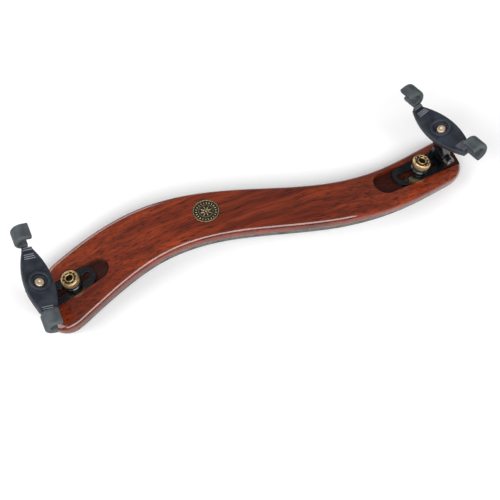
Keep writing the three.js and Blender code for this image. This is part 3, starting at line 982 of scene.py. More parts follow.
@dataclass(frozen=True)
class Moulded:
    """Matt moulded plastic or rubber with a fine texture, a little dust and a painted highlight along its
    edges.
    """

    base: Colour
    dusty: Colour
    rough: float
    grain: float
    texture: float = 2400.0

    def make(self, name: str) -> bpy.types.Material:
        """Build the material."""
        paint = Paint(name, Specular_IOR_Level=0.45)
        specks = paint.effect(Effect.SPECKS, Patch_Scale=150.0, Speck_Scale=self.texture).outputs
        edge_mask = paint.effect(Effect.WEAR, Radius=0.0004, Gain=3.0).outputs["Wear"]
        dust = paint.math("MULTIPLY", specks["Patches"], 0.45)
        # The lighter colour marks dust patches and, on the edges, a painted highlight.
        dust_and_edge_highlight = paint.math("MAXIMUM", dust, paint.math("MULTIPLY", edge_mask, 0.8))
        paint.bump(specks["Specks"], self.grain, 0.6)
        return paint.finish(paint.mix(dust_and_edge_highlight, self.base, self.dusty),
                            paint.range(specks["Patches"], self.rough, self.rough + 0.12))


@dataclass(frozen=True)
class Finishes:
    """Every material of the rest, built once."""

    wood: bpy.types.Material
    channel: bpy.types.Material
    foam: bpy.types.Material
    brass: bpy.types.Material
    dull_brass: bpy.types.Material
    pale_brass: bpy.types.Material
    pewter: bpy.types.Material
    enamel: bpy.types.Material
    black: bpy.types.Material
    steel: bpy.types.Material
    plastic: bpy.types.Material
    worn_plastic: bpy.types.Material
    rubber: bpy.types.Material

    @staticmethod
    def build() -> "Finishes":
        """Make all the materials."""
        tone = from_srgb
        return Finishes(
            wood=Varnish().make(),
            # The channel floors: the wood dimmed to a fifth under a thin coat, as painted shade in the
            # recess.
            channel=Varnish(gloss=0.45, coat=0.25).make("stained_channel", 0.2),
            foam=Foam().make(),
            brass=Brass().make(),
            dull_brass=Brass(tone(104, 84, 50), tone(44, 34, 20), 0.42).make("tarnished_brass"),
            pale_brass=Brass(tone(250, 228, 204), tone(214, 186, 156), 0.45).make("cut_brass"),
            pewter=Brass(tone(190, 172, 128), tone(112, 92, 58), 0.34).make("aged_badge_metal"),
            enamel=Plating(tone(26, 22, 20), tone(60, 52, 40), 0.0, 0.35).make("badge_enamel"),
            black=Plating(tone(10, 12, 15), tone(70, 74, 80), 0.0, 0.18, 0.5).make("black_enamel"),
            steel=Plating(tone(168, 170, 172), tone(215, 215, 215), 1.0, 0.3).make("steel"),
            plastic=Moulded(tone(24, 28, 37), tone(58, 66, 78), 0.5, 0.04).make("fork_plastic"),
            # The ribs' lighter grey is a painted highlight.
            worn_plastic=Moulded(tone(96, 100, 108), tone(170, 172, 176), 0.4, 0.02).make("rubbed_ribs"),
            rubber=Moulded(tone(50, 56, 60), tone(98, 104, 106), 0.6, 0.06, 1900.0).make("claw_rubber"),
        )


# ---------------------------------------------------------------- body and pad


@dataclass
class BodyShape:
    """The body as drawn flat, along s, across y and up h, and the arch that it is laid over."""

    half_length: float = 119.0
    sway: float = 10.6
    half_wave: float = 104.5
    bow: float = 1.4
    narrow: float = 25.2
    extra: float = 12.9
    wide_centre: float = -45.0
    wide_spread: float = 22.1
    corners: Flat = (15.0, 9.0)
    arch_angle: float = math.radians(11.7)
    arch_half: float = 65.5
    badge_s: float = -23.4
    badge_y: float = 9.4

    def __post_init__(self) -> None:
        """Find where the flat drawing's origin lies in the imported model's frame."""
        low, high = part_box("body_plate")
        self.radius = self.arch_half / self.arch_angle
        self.origin = Vector(((low.x + high.x) / 2, middle("badge").y - self.badge_y * MM, high.z))

    def centreline(self, s: float) -> float:
        """How far the middle of the body lies across, at s."""
        bowed = self.bow * (1 - (s / self.half_length) ** 2)
        return -self.sway * math.sin(math.pi * s / self.half_wave) + bowed

    def half_across(self, s: float) -> float:
        """Half the body's width at s, straight across."""
        width = self.narrow + self.extra / (1 + math.exp((s - self.wide_centre) / self.wide_spread))
        slope = -self.sway * math.pi / self.half_wave * math.cos(math.pi * s / self.half_wave)
        return width / 2 * math.hypot(1, slope)

    def on_arch(self, s: float, y: float, h: float) -> Point:
        """A point of the flat drawing, laid over the arch, in metres."""
        bent = max(-self.arch_half, min(self.arch_half, s))
        angle = bent / self.radius
        past = s - bent
        x = (self.radius + h) * math.sin(angle) + past * math.cos(angle)
        z = (self.radius + h) * math.cos(angle) - self.radius - past * math.sin(angle)
        return tuple(self.origin + Vector((x, y, z)) * MM)

    def flat_height(self, point: Vector) -> float:
        """The height h of a point in metres above the body's top face, in millimetres."""
        x, _, z = (point - self.origin) / MM
        angle = max(-self.arch_angle, min(self.arch_angle, math.atan2(x, z + self.radius)))
        if abs(angle) < self.arch_angle:
            return math.hypot(x, z + self.radius) - self.radius
        return x * math.sin(angle) + (z + self.radius) * math.cos(angle) - self.radius

    def stations(self, drawn_in: float, edge: int, corner: int) -> list[tuple[float, float]]:
        """Where the outline is sampled, and how far the corner has come in there.

        Args:
            drawn_in: How far the outline is drawn in.
            edge: Steps along the edges.
            corner: Steps round each corner.

        Returns:
            Pairs of s and drop.
        """
        left, right = self.corners
        start, end = left - self.half_length, self.half_length - right
        out = [(start + (end - start) * i / edge, 0.0) for i in range(edge + 1)]
        for i in range(1, corner + 1):
            along, across = math.sin(math.pi / 2 * i / corner), 1 - math.cos(math.pi / 2 * i / corner)
            out.append((end + (right - drawn_in) * along, (right - drawn_in) * across))
            out.insert(0, (start - (left - drawn_in) * along, (left - drawn_in) * across))
        return out

    def plate(self, levels: Sequence[tuple[float, Callable[[float], float]]], edge: int, corner: int,
              across: int = 1) -> Shell:
        """An arched plate from its levels, lowest first.

        Args:
            levels: How far each level is drawn in, and its height at s.
            edge: Steps along the edges.
            corner: Steps round each corner.
            across: Cells across the top and bottom faces.

        Returns:
            The shell, in metres.
        """
        shell = Shell()
        rows: list[list[list[int]]] = []
        for index, (drawn_in, height) in enumerate(levels):
            cap = index in (0, len(levels) - 1)
            cells = across if cap else 1
            level = []
            for s, drop in self.stations(drawn_in, edge, corner):
                half = self.half_across(s) - drawn_in - drop
                ys = [self.centreline(s) + half * (2 * k / cells - 1) for k in range(cells + 1)]
                level.append(shell.ring(self.on_arch(s, y, height(s)) for y in ys))
            rows.append(level)
        for low, high in zip(rows, rows[1:]):
            shell.join([p[0] for p in low], [p[0] for p in high], closed=False)
            shell.join([p[-1] for p in high], [p[-1] for p in low], closed=False)
        for level, turn in ((rows[0], 1), (rows[-1], -1)):
            for a, b in zip(level, level[1:]):
                for k in range(len(a) - 1):
                    shell.faces.append((a[k], a[k + 1], b[k + 1], b[k])[::turn])
        for end in (0, -1):
            outer = [row[end] for row in rows]
            for low, high in zip(outer, outer[1:]):
                if len(low) == len(high):
                    shell.join(low, high, closed=False)
                    continue
                full, short = (low, high) if len(low) > len(high) else (high, low)
                shell.faces.append(tuple(full) + tuple(reversed(short)))
        return shell


@dataclass
class WoodenBody:
    """The varnished body, with its two channels, its stud holes and its badge seat."""

    shape: BodyShape
    thick: float = 5.5
    edge_radius: float = 2.6
    edge_width: float = 4.2
    under_radius: float = 0.9
    channel_width: float = 13.2
    channel_depth: float = 2.0
    channel_inner: dict[Side, float] = field(default_factory=lambda: {Side.LEFT: 20.5, Side.RIGHT: 29.4})
    channel_outer: float = 60.0
    stud_bore: float = 1.8
    flange_bore: float = 4.8
    flange_seat: float = 1.6
    badge_seat: float = 7.1
    badge_deep: float = 0.65
    softening: float = 0.28

    def channel_cutter(self, side: Side, place: Place) -> bpy.types.Object:
        """The shape that is cut away for one channel."""
        half = self.channel_width / 2
        inner = -self.channel_inner[side] + half
        outer = self.channel_outer
        outline = [(outer, -half), (outer, half)] + arc(inner, 0, half, 90, 270, 40)
        return mesh_object("cutter", slab(outline, -self.channel_depth, 3.0), place)

    def bore_cutter(self, place: Place) -> bpy.types.Object:
        """The stepped hole that one stud goes through."""
        under, step, above = -self.thick - 1, -self.thick + self.flange_seat, -1.0
        corners = [(0, under), (self.flange_bore, under), (self.flange_bore, step),
                   (self.stud_bore, step), (self.stud_bore, above), (0, above)]
        return mesh_object("cutter", lathe(corners, 40), place)

    def badge_place(self) -> Place:
        """The frame of the badge, with Z out of the top face."""
        angle = self.shape.badge_s / self.shape.radius
        centre = Vector(self.shape.on_arch(self.shape.badge_s, self.shape.badge_y, 0))
        x = Vector((math.cos(angle), 0, -math.sin(angle)))
        z = Vector((math.sin(angle), 0, math.cos(angle)))
        return Place.of(centre, x, Vector((0, 1, 0)), z)

    def build(self, ends: dict[Side, EndPlaces], finishes: Finishes) -> bpy.types.Object:
        """Make the body and dress it.

        Args:
            ends: The frames of both ends.
            finishes: The materials.

        Returns:
            The body.
        """
        rims = roll(-self.thick, -self.thick + self.under_radius, self.under_radius, 4, False)
        rims += roll(-self.edge_radius, 0, self.edge_width, 9, True)
        levels = [(drawn_in, lambda s, h=height: h) for drawn_in, height in rims]
        body = mesh_object("varnished_body", self.shape.plate(levels, 110, 12))
        clean(body, flat=0.08)
        seat = lathe([(0, -self.badge_deep), (self.badge_seat, -self.badge_deep), (self.badge_seat, 2),
                      (0, 2)], 72)
        for side, places in ends.items():
            combine(body, self.channel_cutter(side, places.channel), "DIFFERENCE")
            combine(body, self.bore_cutter(places.channel), "DIFFERENCE")
        combine(body, mesh_object("cutter", seat, self.badge_place()), "DIFFERENCE")
        clean(body, merge=2e-5, flat=0.08)
        soften(body, self.softening, 2, 42)
        # The channel floors take the dimmed wood: painted shade.
        two_tone(body, finishes.wood, finishes.channel, lambda spot: self.stained(spot, ends))
        return dress(body, finishes.wood, "rest_body", ["body_plate"])

    def stained(self, spot: Vector, ends: dict[Side, EndPlaces]) -> bool:
        """Whether a spot of the body lies on the floor of a channel, which is dimmed as painted shade."""
        for side, places in ends.items():
            x, y, z = places.channel.local(spot)
            inside = abs(y) < self.channel_width / 2 - 0.02 and x > -self.channel_inner[side] - 0.1
            if inside and -self.channel_depth - 0.2 < z < -self.channel_depth * 0.7:
                return True
        return False


@dataclass
class FoamPad:
    """The foam pad glued under the body, swollen a little where it is free."""

    shape: BodyShape
    drawn_in: float = 0.8
    top: float = -5.8
    thick: float = 4.2
    end_thick: float = 3.2
    thick_until: float = 40.0
    thin_from: float = 90.0
    rim: float = 1.3
    most_swell: float = 0.5
    glue_gap: float = 0.3
    frames: int = 14
    pressure: float = 4.0
    stiffness: float = 40.0

    def thickness(self, s: float) -> float:
        """The pad's thickness at s, a little under that of its solid, to leave room for the swelling."""
        share = max(0.0, min(1.0, (abs(s) - self.thick_until) / (self.thin_from - self.thick_until)))
        return self.thick + (self.end_thick - self.thick) * share - self.most_swell * 0.8

    def shell(self) -> Shell:
        """The pad before it swells: it follows the body above, has a rounded lower rim, and its two
        lowest edges are cut flat at the bottom of its solid, where the rest stands on them."""
        levels: list[tuple[float, Callable[[float], float]]] = []
        least = self.drawn_in + self.glue_gap
        for drawn_in, share in roll(0.0, 1.0, self.rim, 4, False):
            levels.append((least + drawn_in,
                           lambda s, part=share: self.top - self.thickness(s) + self.rim * part))
        levels.append((least, lambda s: self.top))
        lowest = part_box("foam_pad")[0].z
        return self.shape.plate(levels, 120, 8, 14).map(lambda p: (p[0], p[1], max(p[2], lowest)))

    def swell(self, pad: bpy.types.Object) -> None:
        """Inflate the pad as cloth, with its glued face pinned, and cap how far it moves.

        Args:
            pad: The pad, changed in place.
        """
        before = [v.co.copy() for v in pad.data.vertices]
        glued = pad.vertex_groups.new(name="glued")
        face = [i for i, co in enumerate(before) if self.shape.flat_height(co) > self.top - 0.05]
        glued.add(face, 1.0, "ADD")
        cloth = pad.modifiers.new("swell", "CLOTH")
        settings = cloth.settings
        settings.vertex_group_mass = "glued"
        settings.use_pressure = True
        settings.uniform_pressure_force = self.pressure
        settings.effector_weights.gravity = 0.0
        settings.tension_stiffness = settings.compression_stiffness = self.stiffness
        settings.quality = 5
        cloth.point_cache.frame_end = self.frames
        scene = bpy.context.scene
        for number in range(1, self.frames + 1):
            scene.frame_set(number)
        bake(pad)
        scene.frame_set(1)
        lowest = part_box("foam_pad")[0].z
        for vertex, start in zip(pad.data.vertices, before):
            move = vertex.co - start
            if move.length > self.most_swell * MM:
                move *= self.most_swell * MM / move.length
            spot = start + move
            spot.z = max(spot.z, lowest)
            over = self.shape.flat_height(spot) - self.top
            vertex.co = start if over > 0 else spot
        pad.vertex_groups.clear()

    def build(self, finishes: Finishes) -> bpy.types.Object:
        """Args:
            finishes: The materials.

        Returns:
            The pad.
        """
        pad = mesh_object("foam_underlay", self.shell())
        self.swell(pad)
        pad.data.shade_smooth()
        pad.data.set_sharp_from_angle(angle=math.radians(CREASE))
        dress(pad, finishes.foam, "rest_body", ["foam_pad"])
        return pad


@dataclass
class Badge:
    """The round inlaid badge, with rings of plain beads and a petal rosette."""

    radius: float = 6.8
    low: float = -0.35
    proud: float = 0.25
    rim: float = 0.55

    def build(self, place: Place, finishes: Finishes) -> None:
        """Make the badge's disc, rings, beads and petals.

        Args:
            place: The badge's frame.
            finishes: The materials.
        """
        floor = self.proud - 0.22
        inner = self.radius - self.rim
        rim = rounded([(inner, self.low), (self.radius, self.low), (self.radius, self.proud),
                       (inner, self.proud)], 0.12, 3, loop=True)
        hoop = rounded([(3.55, floor - 0.1), (3.85, floor - 0.1), (3.85, self.proud - 0.04),
                        (3.55, self.proud - 0.04)], 0.07, 2, loop=True)
        metal = lathe(rim, 72, loop=True).add(lathe(hoop, 64, loop=True))
        body, slot, reach = "rest_body", "badge_metal", inner + 0.1
        rings = soften(mesh_object("badge_rings", metal, place))
        dress(rings, finishes.pewter, body, ["badge"])
        face = lathe([(0, self.low), (reach, self.low), (reach, floor), (0, floor + 0.02)], 72)
        dress(soften(mesh_object("badge_disc", face, place)), finishes.enamel, body)
        marks = (("beads", 22, 5.05, 1.15, 0.62, 0.42), ("petals", 8, 1.9, 1.9, 0.75, 0.5),
                 ("dots", 8, 3.0, 0.42, 0.42, 0.36))
        for name, count, radius, along, across, up in marks:
            ring = repeated(f"badge_{name}", Pattern.RING, place, finishes.pewter, Height=floor, Sides=12,
                            Rings=6, Count=count, Radius=radius, Size_Radial=along, Size_Round=across,
                            Size_Up=up)
            dress(ring, finishes.pewter, body)
        boss = lathe([(0, floor - 0.05), (0.62, floor - 0.05), (0.58, floor + 0.12), (0.36, floor + 0.2),
                      (0, floor + 0.22)], 32)
        centre = soften(mesh_object("badge_centre", boss, place), 0, 1, 60)
        dress(centre, finishes.pewter, body)


# ---------------------------------------------------------------- one end


@dataclass
class Clamp:
    """The brass stud, black collar and knurled brass nut of one channel, in the channel's frame."""

    thick: float = 5.5
    stud_radius: float = 1.5
    stud_top: float = 4.7
    thread_low: float = -3.9
    thread_deep: float = 0.22
    pitch: float = 0.5
    flange_radius: float = 4.5
    collar_radius: float = 4.4
    collar_low: float = 0.1
    collar_thick: float = 2.6
    nut_low: float = 3.0
    nut_top: float = 6.8
    nut_radius: float = 4.75
    groove_out: float = 3.55
    groove_in: float = 2.45
    groove_deep: float = 0.95
    gap: float = 0.3

    def stud(self, name: str, place: Place, finishes: Finishes) -> None:
        """Make the stud and its thread."""
        low = -self.thick + 0.1
        core = self.stud_radius - self.thread_deep
        corners = [(0, low), (self.flange_radius, low), (self.flange_radius, low + 1), (core, low + 1),
                   (core, self.stud_top), (0, self.stud_top)]
        piece = turned_piece(f"{name}_stud", corners, 0.2, 2, 40, place)
        dress(piece, finishes.dull_brass, "rest_body", [f"{name}_clamp_stud"])
        turns = (self.stud_top - self.thread_low - 0.4) / self.pitch
        thread = repeated(f"{name}_stud_thread", Pattern.THREAD, place, finishes.dull_brass, Turns=turns,
                          Radius=core, Pitch=self.pitch, Start=self.thread_low, Depth=0.2, Steps=20)
        dress(thread, finishes.dull_brass, "rest_body")

    def collar(self, name: str, place: Place, finishes: Finishes) -> None:
        """Make the collar, waisted between two thin rims."""
        bore, out = self.stud_radius + self.gap, self.collar_radius
        low, high = self.collar_low, self.collar_low + self.collar_thick
        corners = [(bore, low), (out, low), (out, low + 0.8), (out - 0.5, low + 1.1),
                   (out - 0.5, high - 0.9), (out - 0.1, high - 0.6), (out - 0.1, high), (bore, high)]
        piece = turned_piece(f"{name}_collar", corners, 0.18, 3, 56, place, loop=True)
        dress(piece, finishes.black, f"{name}_collar_body", [f"{name}_clamp_collar"])

    def nut(self, name: str, place: Place, finishes: Finishes) -> None:
        """Make the nut: a rim, a notched groove and a raised hub, with a knurled side."""
        bore = self.stud_radius + self.gap - 0.15
        low, top, out = self.nut_low, self.nut_top, self.nut_radius - 0.22
        floor = top - self.groove_deep
        corners = [(bore, low), (out - 0.3, low), (out, low + 0.3), (out, top - 0.75),
                   (out - 0.25, top - 0.2), (self.groove_out, top - 0.2), (self.groove_out, floor),
                   (self.groove_in, floor), (self.groove_in, top), (bore + 0.35, top), (bore, top - 0.35)]
        body = f"{name}_nut_body"
        piece = turned_piece(f"{name}_nut", corners, 0.22, 3, 96, place, loop=True)

        def in_groove_or_bore(spot: Vector) -> bool:
            """Whether a spot of the nut lies in its groove or its bore."""
            x, y, z = place.local(spot)
            reach = math.hypot(x, y)
            within = self.groove_in - 0.05 < reach < self.groove_out + 0.05
            return within and floor - 0.1 < z < top - 0.35 or reach < bore + 0.2

        # The groove and the bore get the darker brass.
        two_tone(piece, finishes.brass, finishes.dull_brass, in_groove_or_bore)
        dress(piece, finishes.brass, body, [f"{name}_thumb_nut"])
        marks = (
            ("knurl", dict(Count=44, Radius=out - 0.02, Size_Radial=0.48, Size_Round=0.42, Size_Up=2.7,
                           Height=(low + top - 0.45) / 2, Sides=6, Rings=5)),
            ("notches", dict(Count=10, Radius=self.groove_out - 0.1, Size_Radial=0.9, Size_Round=0.75,
                             Size_Up=1.3, Height=floor + 0.05, Sides=10, Rings=6)),
        )
        for label, sizes in marks:
            ring = repeated(f"{name}_nut_{label}", Pattern.RING, place, finishes.brass, **sizes)
            dress(ring, finishes.brass, body)


@dataclass
class Foot:
    """The bracket, the hinge pin, the foot block and its threaded brass insert.

    The pin is drawn in the bracket's frame and the insert in the head's. The bracket and the block
    are copies of their solids, with their edges rounded.
    """

    bracket_width: float = 12.4
    pin_radius: float = 1.25
    bore_floor: float = 8.4
    top: float = 12.9
    insert_radius: float = 3.3
    flange_radius: float = 4.1
    flange_thick: float = 0.8
    screw_radius: float = 2.5
    gap: float = 0.3

    def build(self, name: str, places: EndPlaces, finishes: Finishes) -> None:
        """Make the bracket, the pin, the block and the insert of one end.

        Args:
            name: The end's prefix.
            places: The end's frames.
            finishes: The materials.
        """
        bracket = soften(cad_copy(f"{name}_bracket", f"{name}_end_bracket"), 0.22, 2, 40)
        dress(bracket, finishes.black, f"{name}_bracket_body", [f"{name}_end_bracket"])
        half = self.bracket_width / 2
        corners = [(0, -half), (self.pin_radius, -half), (self.pin_radius, half), (0, half)]
        pin = turned_piece(f"{name}_pin", corners, 0.4, 4, 36, places.bracket.turned(math.pi / 2, "X"))
        dress(pin, finishes.steel, f"{name}_bracket_body", [f"{name}_hinge_pin"])
        block = soften(cad_copy(f"{name}_foot", f"{name}_foot_block"), 0.3, 3, 40)
        dress(block, finishes.black, f"{name}_foot_body", [f"{name}_foot_block"])
        bore, seat = self.screw_radius + self.gap, self.top + self.gap
        floor, cap = self.bore_floor + self.gap, seat + self.flange_thick
        corners = [(bore, floor), (self.insert_radius, floor), (self.insert_radius, seat),
                   (self.flange_radius, seat), (self.flange_radius, cap), (bore, cap)]
        insert = turned_piece(f"{name}_insert", corners, 0.18, 3, 56, places.head, loop=True)
        dress(insert, finishes.brass, f"{name}_foot_body", [f"{name}_foot_insert"])


@dataclass
class Screw:
    """The brass fork screw, with its thread and a small dimple in its end, in the head's frame."""

    radius: float = 2.5
    bottom: float = 10.3
    top: float = 20.9
    pitch: float = 0.8
    depth: float = 0.32

    def build(self, name: str, place: Place, finishes: Finishes) -> None:
        """Make the screw and its thread."""
        core = self.radius - self.depth
        shoulder, rim = self.top - 1.9, self.top - 0.6
        corners = [(0, self.bottom), (core - 0.4, self.bottom), (core, self.bottom + 0.5),
                   (core, shoulder), (self.radius, self.top - 1.6), (self.radius, rim),
                   (self.radius - 0.45, self.top), (0.55, self.top), (0.35, self.top - 0.3),
                   (0, self.top - 0.35)]
        body = f"{name}_screw_body"
        piece = turned_piece(f"{name}_screw", corners, 0.15, 3, 56, place)
        dress(piece, finishes.pale_brass, body, [f"{name}_fork_screw"])
        turns = (self.top - self.bottom - 3.2) / self.pitch
        thread = repeated(f"{name}_screw_thread", Pattern.THREAD, place, finishes.brass, Turns=turns,
                          Radius=core - 0.02, Pitch=self.pitch, Start=self.bottom + 0.9,
                          Depth=self.depth, Steps=28)
        dress(thread, finishes.brass, body)


@dataclass
class Fork:
    """The leaf-shaped fork and the rubber covers of its two claws, in the fork's frame."""

    leaf_low: float = 17.8
    leaf_thick: float = 2.8
    leaf_half: float = 7.5
    leaf_tip: float = 25.0
    leaf_end: float = 20.5
    leaf_hole: float = 4.9
    boss_low: float = 16.5
    boss_low_radius: float = 4.5
    boss_top: float = 22.4
    boss_radius: float = 5.5
    recess_radius: float = 4.0
    recess_floor: float = 19.8
    bore: float = 2.8
    bend: float = 3.75
    centre_x: float = 1.6
    centre_z: float = 25.0
    root_run: float = 1.8
    tip_run: float = 2.9
    tongue_thick: float = 1.3
    cover_thick: float = 2.9
    cover_past: float = 0.4
    cover_inner: float = 20.5
    cover_outer: float = 29.4
    cover_wall: float = 0.9
    riser_x: Flat = (-2.2, 3.1)
    riser_low: float = 18.6

    def leaf_outline(self, steps: int = 44) -> list[Flat]:
        """The leaf's plan, with two long curved edges."""
        def x(y: float) -> float:
            """Half the leaf's width at y."""
            return self.leaf_half * (1 - (y / self.leaf_tip) ** 2)
        ys = [self.leaf_end * (2 * i / steps - 1) for i in range(steps + 1)]
        return [(x(y), y) for y in ys] + [(-x(y), y) for y in reversed(ys)]

    def claw_path(self, extra: float, steps: int = 26) -> list[tuple[Vector, Vector]]:
        """Points along the claw's C, each with its direction away from the C's middle.

        Args:
            extra: How much each straight run is lengthened.
            steps: Steps round the bend.

        Returns:
            Pairs of a point and an outward direction, in the X-Z plane.
        """
        def straight(back: float, side: int) -> tuple[Vector, Vector]:
            """A point of a straight run, some way back from the bend, below (-1) or above (1)."""
            spot = Vector((self.centre_x - back, 0, self.centre_z + side * self.bend))
            return spot, Vector((0, 0, side))

        root, tip = self.root_run + extra, self.tip_run + extra
        out = [straight(root * (1 - k / 4), -1) for k in range(4)]
        for k in range(steps + 1):
            angle = math.pi * (k / steps - 0.5)
            away = Vector((math.cos(angle), 0, math.sin(angle)))
            out.append((Vector((self.centre_x, 0, self.centre_z)) + away * self.bend, away))
        return out + [straight(tip * k / 4, 1) for k in range(1, 5)]

    def swept(self, path: list[tuple[Vector, Vector]], half_thick: float, y0: float, y1: float,
              corner: float, end_round: float, side: int) -> Shell:
        """Sweep a rounded rectangle along a claw's path, with rounded ends.

        Args:
            path: Points and outward directions.
            half_thick: Half the section's thickness.
            y0: The section's inner side.
            y1: The section's outer side.
            corner: Radius of the section's corners.
            end_round: How far the ends are rounded along the path.
            side: 1 or -1, for the fork's end along Y.

        Returns:
            The closed shell.
        """
        shell = Shell()
        half_y, mid_y = (y1 - y0) / 2, (y0 + y1) / 2
        rings = []
        lengths = [0.0]
        for (a, _), (b, _) in zip(path, path[1:]):
            lengths.append(lengths[-1] + (b - a).length)
        total = lengths[-1]

        def section(spot: Vector, away: Vector, shrink: float) -> list[int]:
            """One ring of the sweep, drawn in by shrink."""
            outline = rounded_box(half_thick - shrink, half_y - shrink, max(0.15, corner - shrink), 5)
            return shell.ring(tuple(spot + away * u + Vector((0, side * (mid_y + v), 0)))
                              for u, v in outline)

        stops = [end_round * (1 - math.cos(math.pi / 2 * k / 5)) for k in range(6)]
        marks = [(stop, end_round * (1 - math.sqrt(max(0.0, 1 - (1 - stop / end_round) ** 2))))
                 for stop in stops]
        marks += [(d, 0.0) for d in lengths if end_round * 1.05 < d < total - end_round * 1.05]
        marks += [(total - stop, shrink) for stop, shrink in reversed(marks[:6])]
        for distance, shrink in marks:
            index = max(i for i, d in enumerate(lengths[:-1]) if d <= distance + 1e-9)
            share = (distance - lengths[index]) / (lengths[index + 1] - lengths[index])
            (a, away_a), (b, away_b) = path[index], path[index + 1]
            rings.append(section(a.lerp(b, share), away_a.lerp(away_b, share).normalized(), shrink))
        for a, b in zip(rings, rings[1:]):
            shell.join(a, b)
        shell.faces.append(tuple(reversed(rings[0])))
        shell.faces.append(tuple(rings[-1]))
        return shell

    def frame_piece(self, name: str, place: Place, finishes: Finishes) -> None:
        """Make the leaf, its boss, and the two tongues and necks that carry the rubber covers."""
        plan = slab(self.leaf_outline(), self.leaf_low, self.leaf_low + self.leaf_thick, 0.9, 0.5, 5)
        leaf = mesh_object(f"{name}_fork_frame", plan, place)
        radius, under = self.leaf_hole, self.leaf_low - 1
        hole = lathe([(0, under), (radius, under), (radius, self.boss_top), (0, self.boss_top)], 64)
        combine(leaf, mesh_object("cutter", hole, place), "DIFFERENCE")
        soften(leaf, 0, 1, 42)
        dress(leaf, finishes.plastic, f"{name}_fork_body", [f"{name}_fork"])
        corners = [(self.bore, self.boss_low), (self.boss_low_radius, self.boss_low),
                   (self.boss_low_radius, self.leaf_low + 0.4), (self.boss_radius, self.leaf_low + 0.6),
                   (self.boss_radius, self.boss_top), (self.recess_radius, self.boss_top),
                   (self.recess_radius, self.recess_floor), (self.bore, self.recess_floor)]
        boss = turned_piece(f"{name}_fork_boss", corners, 0.45, 4, 80, place, loop=True)
        dress(boss, finishes.plastic, f"{name}_fork_body")
        tongues = Shell()
        inner, outer = self.cover_inner + self.cover_wall + 0.3, self.cover_outer - self.cover_wall - 0.3
        path = self.claw_path(0)
        for side in (-1, 1):
            tongues.add(self.swept(path, self.tongue_thick / 2, inner, outer, 0.4, 0.3, side))
            tongues.add(self.neck(side)).add(self.riser(side))
        claws = soften(mesh_object(f"{name}_fork_tongues", tongues, place))
        dress(claws, finishes.plastic, f"{name}_fork_body")

    def block(self, x0: float, x1: float, y0: float, y1: float, low: float, high: float,
              corner: float) -> Shell:
        """A rounded block between two corners."""
        outline = [((x0 + x1) / 2 + x, (y0 + y1) / 2 + y)
                   for x, y in rounded_box((x1 - x0) / 2, (y1 - y0) / 2, corner, 4)]
        return slab(outline, low, high, 0.35, 0.2, 3)

    def neck(self, side: int) -> Shell:
        """The neck that goes into one cover."""
        half, z = self.tongue_thick / 2, self.centre_z - self.bend
        y0, y1 = sorted((side * (self.leaf_end - 1), side * (self.cover_inner + self.cover_wall + 1.5)))
        x0, x1 = self.centre_x - self.root_run, self.riser_x[1]
        return self.block(x0, x1, y0, y1, z - half, z + half, 0.3)

    def riser(self, side: int) -> Shell:
        """The block between the leaf and one neck."""
        y0, y1 = sorted((side * (self.leaf_end - 2.5), side * (self.cover_inner - 0.3)))
        top = self.centre_z - self.bend + self.tongue_thick / 2
        return self.block(*self.riser_x, y0, y1, self.riser_low, top, 0.6)

    def covers(self, name: str, side_name: Side, place: Place, finishes: Finishes) -> None:
        """Make the two rubber covers, each with an open mouth over the tip of its claw."""
        path = self.claw_path(self.cover_past)
        for reach in Reach:
            side = 1 if (side_name is Side.RIGHT) == (reach is Reach.FAR) else -1
            shell = self.swept(path, self.cover_thick / 2, self.cover_inner, self.cover_outer, 1.15,
                               0.55, side)
            cover = mesh_object(f"{name}_claw_cover_{reach.value}", shell, place)
            tip = path[-1][0]
            outline = [(x, side * (self.cover_inner + self.cover_outer) / 2 + y)
                       for x, y in rounded_box(2.0, 3.2, 0.5, 4)]
            mouth = slab(outline, tip.z - 0.8, tip.z + 0.8)
            mouth = mouth.map(lambda p: (p[0] + tip.x - 1.3, p[1], p[2]))
            combine(cover, mesh_object("cutter", mouth, place), "DIFFERENCE")
            soften(cover, 0, 1, 40)
            dress(cover, finishes.rubber, f"{name}_fork_body",
                  [f"{name}_rubber_cover_{reach.value}"])

    def ribs(self, name: str, place: Place, finishes: Finishes) -> None:
        """Make the cross ribs on the leaf's ends and on the risers beside each cover, in a lighter grey
        plastic that is a painted highlight.
        """
        leaf_top = self.leaf_low + self.leaf_thick
        riser_top = self.centre_z - self.bend + self.tongue_thick / 2
        rows = (("leaf", 3, 14.2, leaf_top, 5.6), ("riser", 2, 18.55, riser_top, 4.3))
        for side, label in ((1, "a"), (-1, "b")):
            for part, count, start, height, length in rows:
                row = repeated(f"{name}_{part}_ribs_{label}", Pattern.RIBS, place, finishes.worn_plastic,
                               Count=count, Start=side * start, Pitch=side * 1.15, Height=height - 0.08,
                               Length=length, Taper=0.06, Thickness=0.52, Middle=0.4)
                dress(row, finishes.worn_plastic, f"{name}_fork_body")

    def build(self, side: Side, place: Place, finishes: Finishes) -> None:
        """Make the whole fork of one end.

        Args:
            side: Which end.
            place: The fork's frame.
            finishes: The materials.
        """
        self.frame_piece(side.value, place, finishes)
        self.ribs(side.value, place, finishes)
        self.covers(side.value, side, place, finishes)


@dataclass
class RestEnd:
    """Everything that one end carries."""

    side: Side
    places: EndPlaces
    clamp: Clamp = field(default_factory=Clamp)
    foot: Foot = field(default_factory=Foot)
    screw: Screw = field(default_factory=Screw)
    fork: Fork = field(default_factory=Fork)

    def build(self, finishes: Finishes) -> None:
        """Make the clamp, the foot, the screw and the fork."""
        name = self.side.value
        for make in (self.clamp.stud, self.clamp.collar, self.clamp.nut):
            make(name, self.places.channel, finishes)
        self.foot.build(name, self.places, finishes)
        self.screw.build(name, self.places.head, finishes)
        self.fork.build(self.side, self.places.fork, finishes)


# ---------------------------------------------------------------- studio


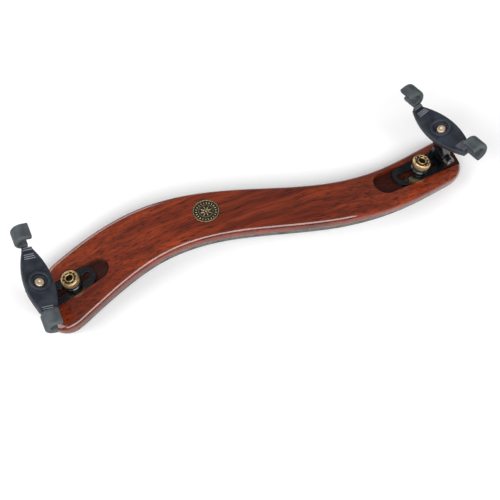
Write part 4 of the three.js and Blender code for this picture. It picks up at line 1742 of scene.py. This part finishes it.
@dataclass
class Studio:
    """The floor, the lights and the camera."""

    crown: Vector
    eye: Point = (-223.26, -510.73, 762.51)
    target: Point = (-12.62, -22.05, -0.08)
    roll: float = math.radians(0.1)
    lens: float = 134.1
    sensor: float = 36.0
    floor_half: float = 3.0  # metres
    floor_z: float = -0.0002  # metres
    ambient: float = 0.2

    def camera(self) -> None:
        """Make the camera, from its place beside the body's crown."""
        data = bpy.data.cameras.new("studio_camera")
        data.lens = self.lens
        data.sensor_width = self.sensor
        data.clip_start, data.clip_end = 0.01, 20.0
        camera = linked("studio_camera", data)
        eye = self.crown + Vector(self.eye) * MM
        look = self.crown + Vector(self.target) * MM - eye
        camera.location = eye
        camera.rotation_euler = (look.to_track_quat("-Z", "Y").to_matrix()
                                 @ Matrix.Rotation(self.roll, 3, "Z")).to_euler()
        bpy.context.scene.camera = camera

    def floor(self) -> None:
        """Make the plain pale floor."""
        half, z = self.floor_half, self.floor_z
        corners = [(-half, -half, z), (half, -half, z), (half, half, z), (-half, half, z)]
        shell = Shell(corners, [(0, 1, 2, 3)])
        floor = mesh_object("floor", shell)
        paint = Paint("pale_floor", Roughness=0.9, Specular_IOR_Level=0.1,
                      Base_Color=(0.93, 0.93, 0.93, 1.0))
        floor.data.materials.append(paint.material)

    def light(self, name: str, where: Point, size: Flat, watts: float) -> None:
        """Make one soft light aimed at the crown.

        Args:
            name: The light's name.
            where: Its place from the crown, in metres.
            size: Its width and height in metres.
            watts: Its power.
        """
        data = bpy.data.lights.new(name, "AREA")
        data.shape = "RECTANGLE"
        data.size, data.size_y = size
        data.energy = watts
        lamp = linked(name, data)
        lamp.location = self.crown + Vector(where)
        lamp.rotation_euler = (-Vector(where)).to_track_quat("-Z", "Y").to_euler()

    def build(self) -> None:
        """Set up the whole studio."""
        self.camera()
        self.floor()
        world = bpy.data.worlds.new("soft_room")
        world.use_nodes = True
        background = world.node_tree.nodes["Background"].inputs
        background["Color"].default_value = (1.0, 1.0, 1.0, 1.0)
        background["Strength"].default_value = self.ambient
        bpy.context.scene.world = world
        self.light("front_softbox", (-0.1, -0.95, 1.0), (1.7, 0.6), 24)
        self.light("left_softbox", (-1.2, -0.1, 0.95), (0.9, 0.9), 12)
        self.light("back_softbox", (-0.5, 1.3, 0.55), (1.2, 0.5), 6)
        bpy.context.scene.view_settings.view_transform = "Standard"


def main() -> None:
    """Build the rest, piece by piece, and the studio round it."""
    finishes = Finishes.build()
    ends = {side: EndPlaces.of(side) for side in Side}
    shape = BodyShape()
    body = WoodenBody(shape)
    body.build(ends, finishes)
    FoamPad(shape).build(finishes)
    Badge().build(body.badge_place(), finishes)
    for side, places in ends.items():
        RestEnd(side, places).build(finishes)
    Studio(shape.origin).build()


if __name__ == "__main__":
    main()
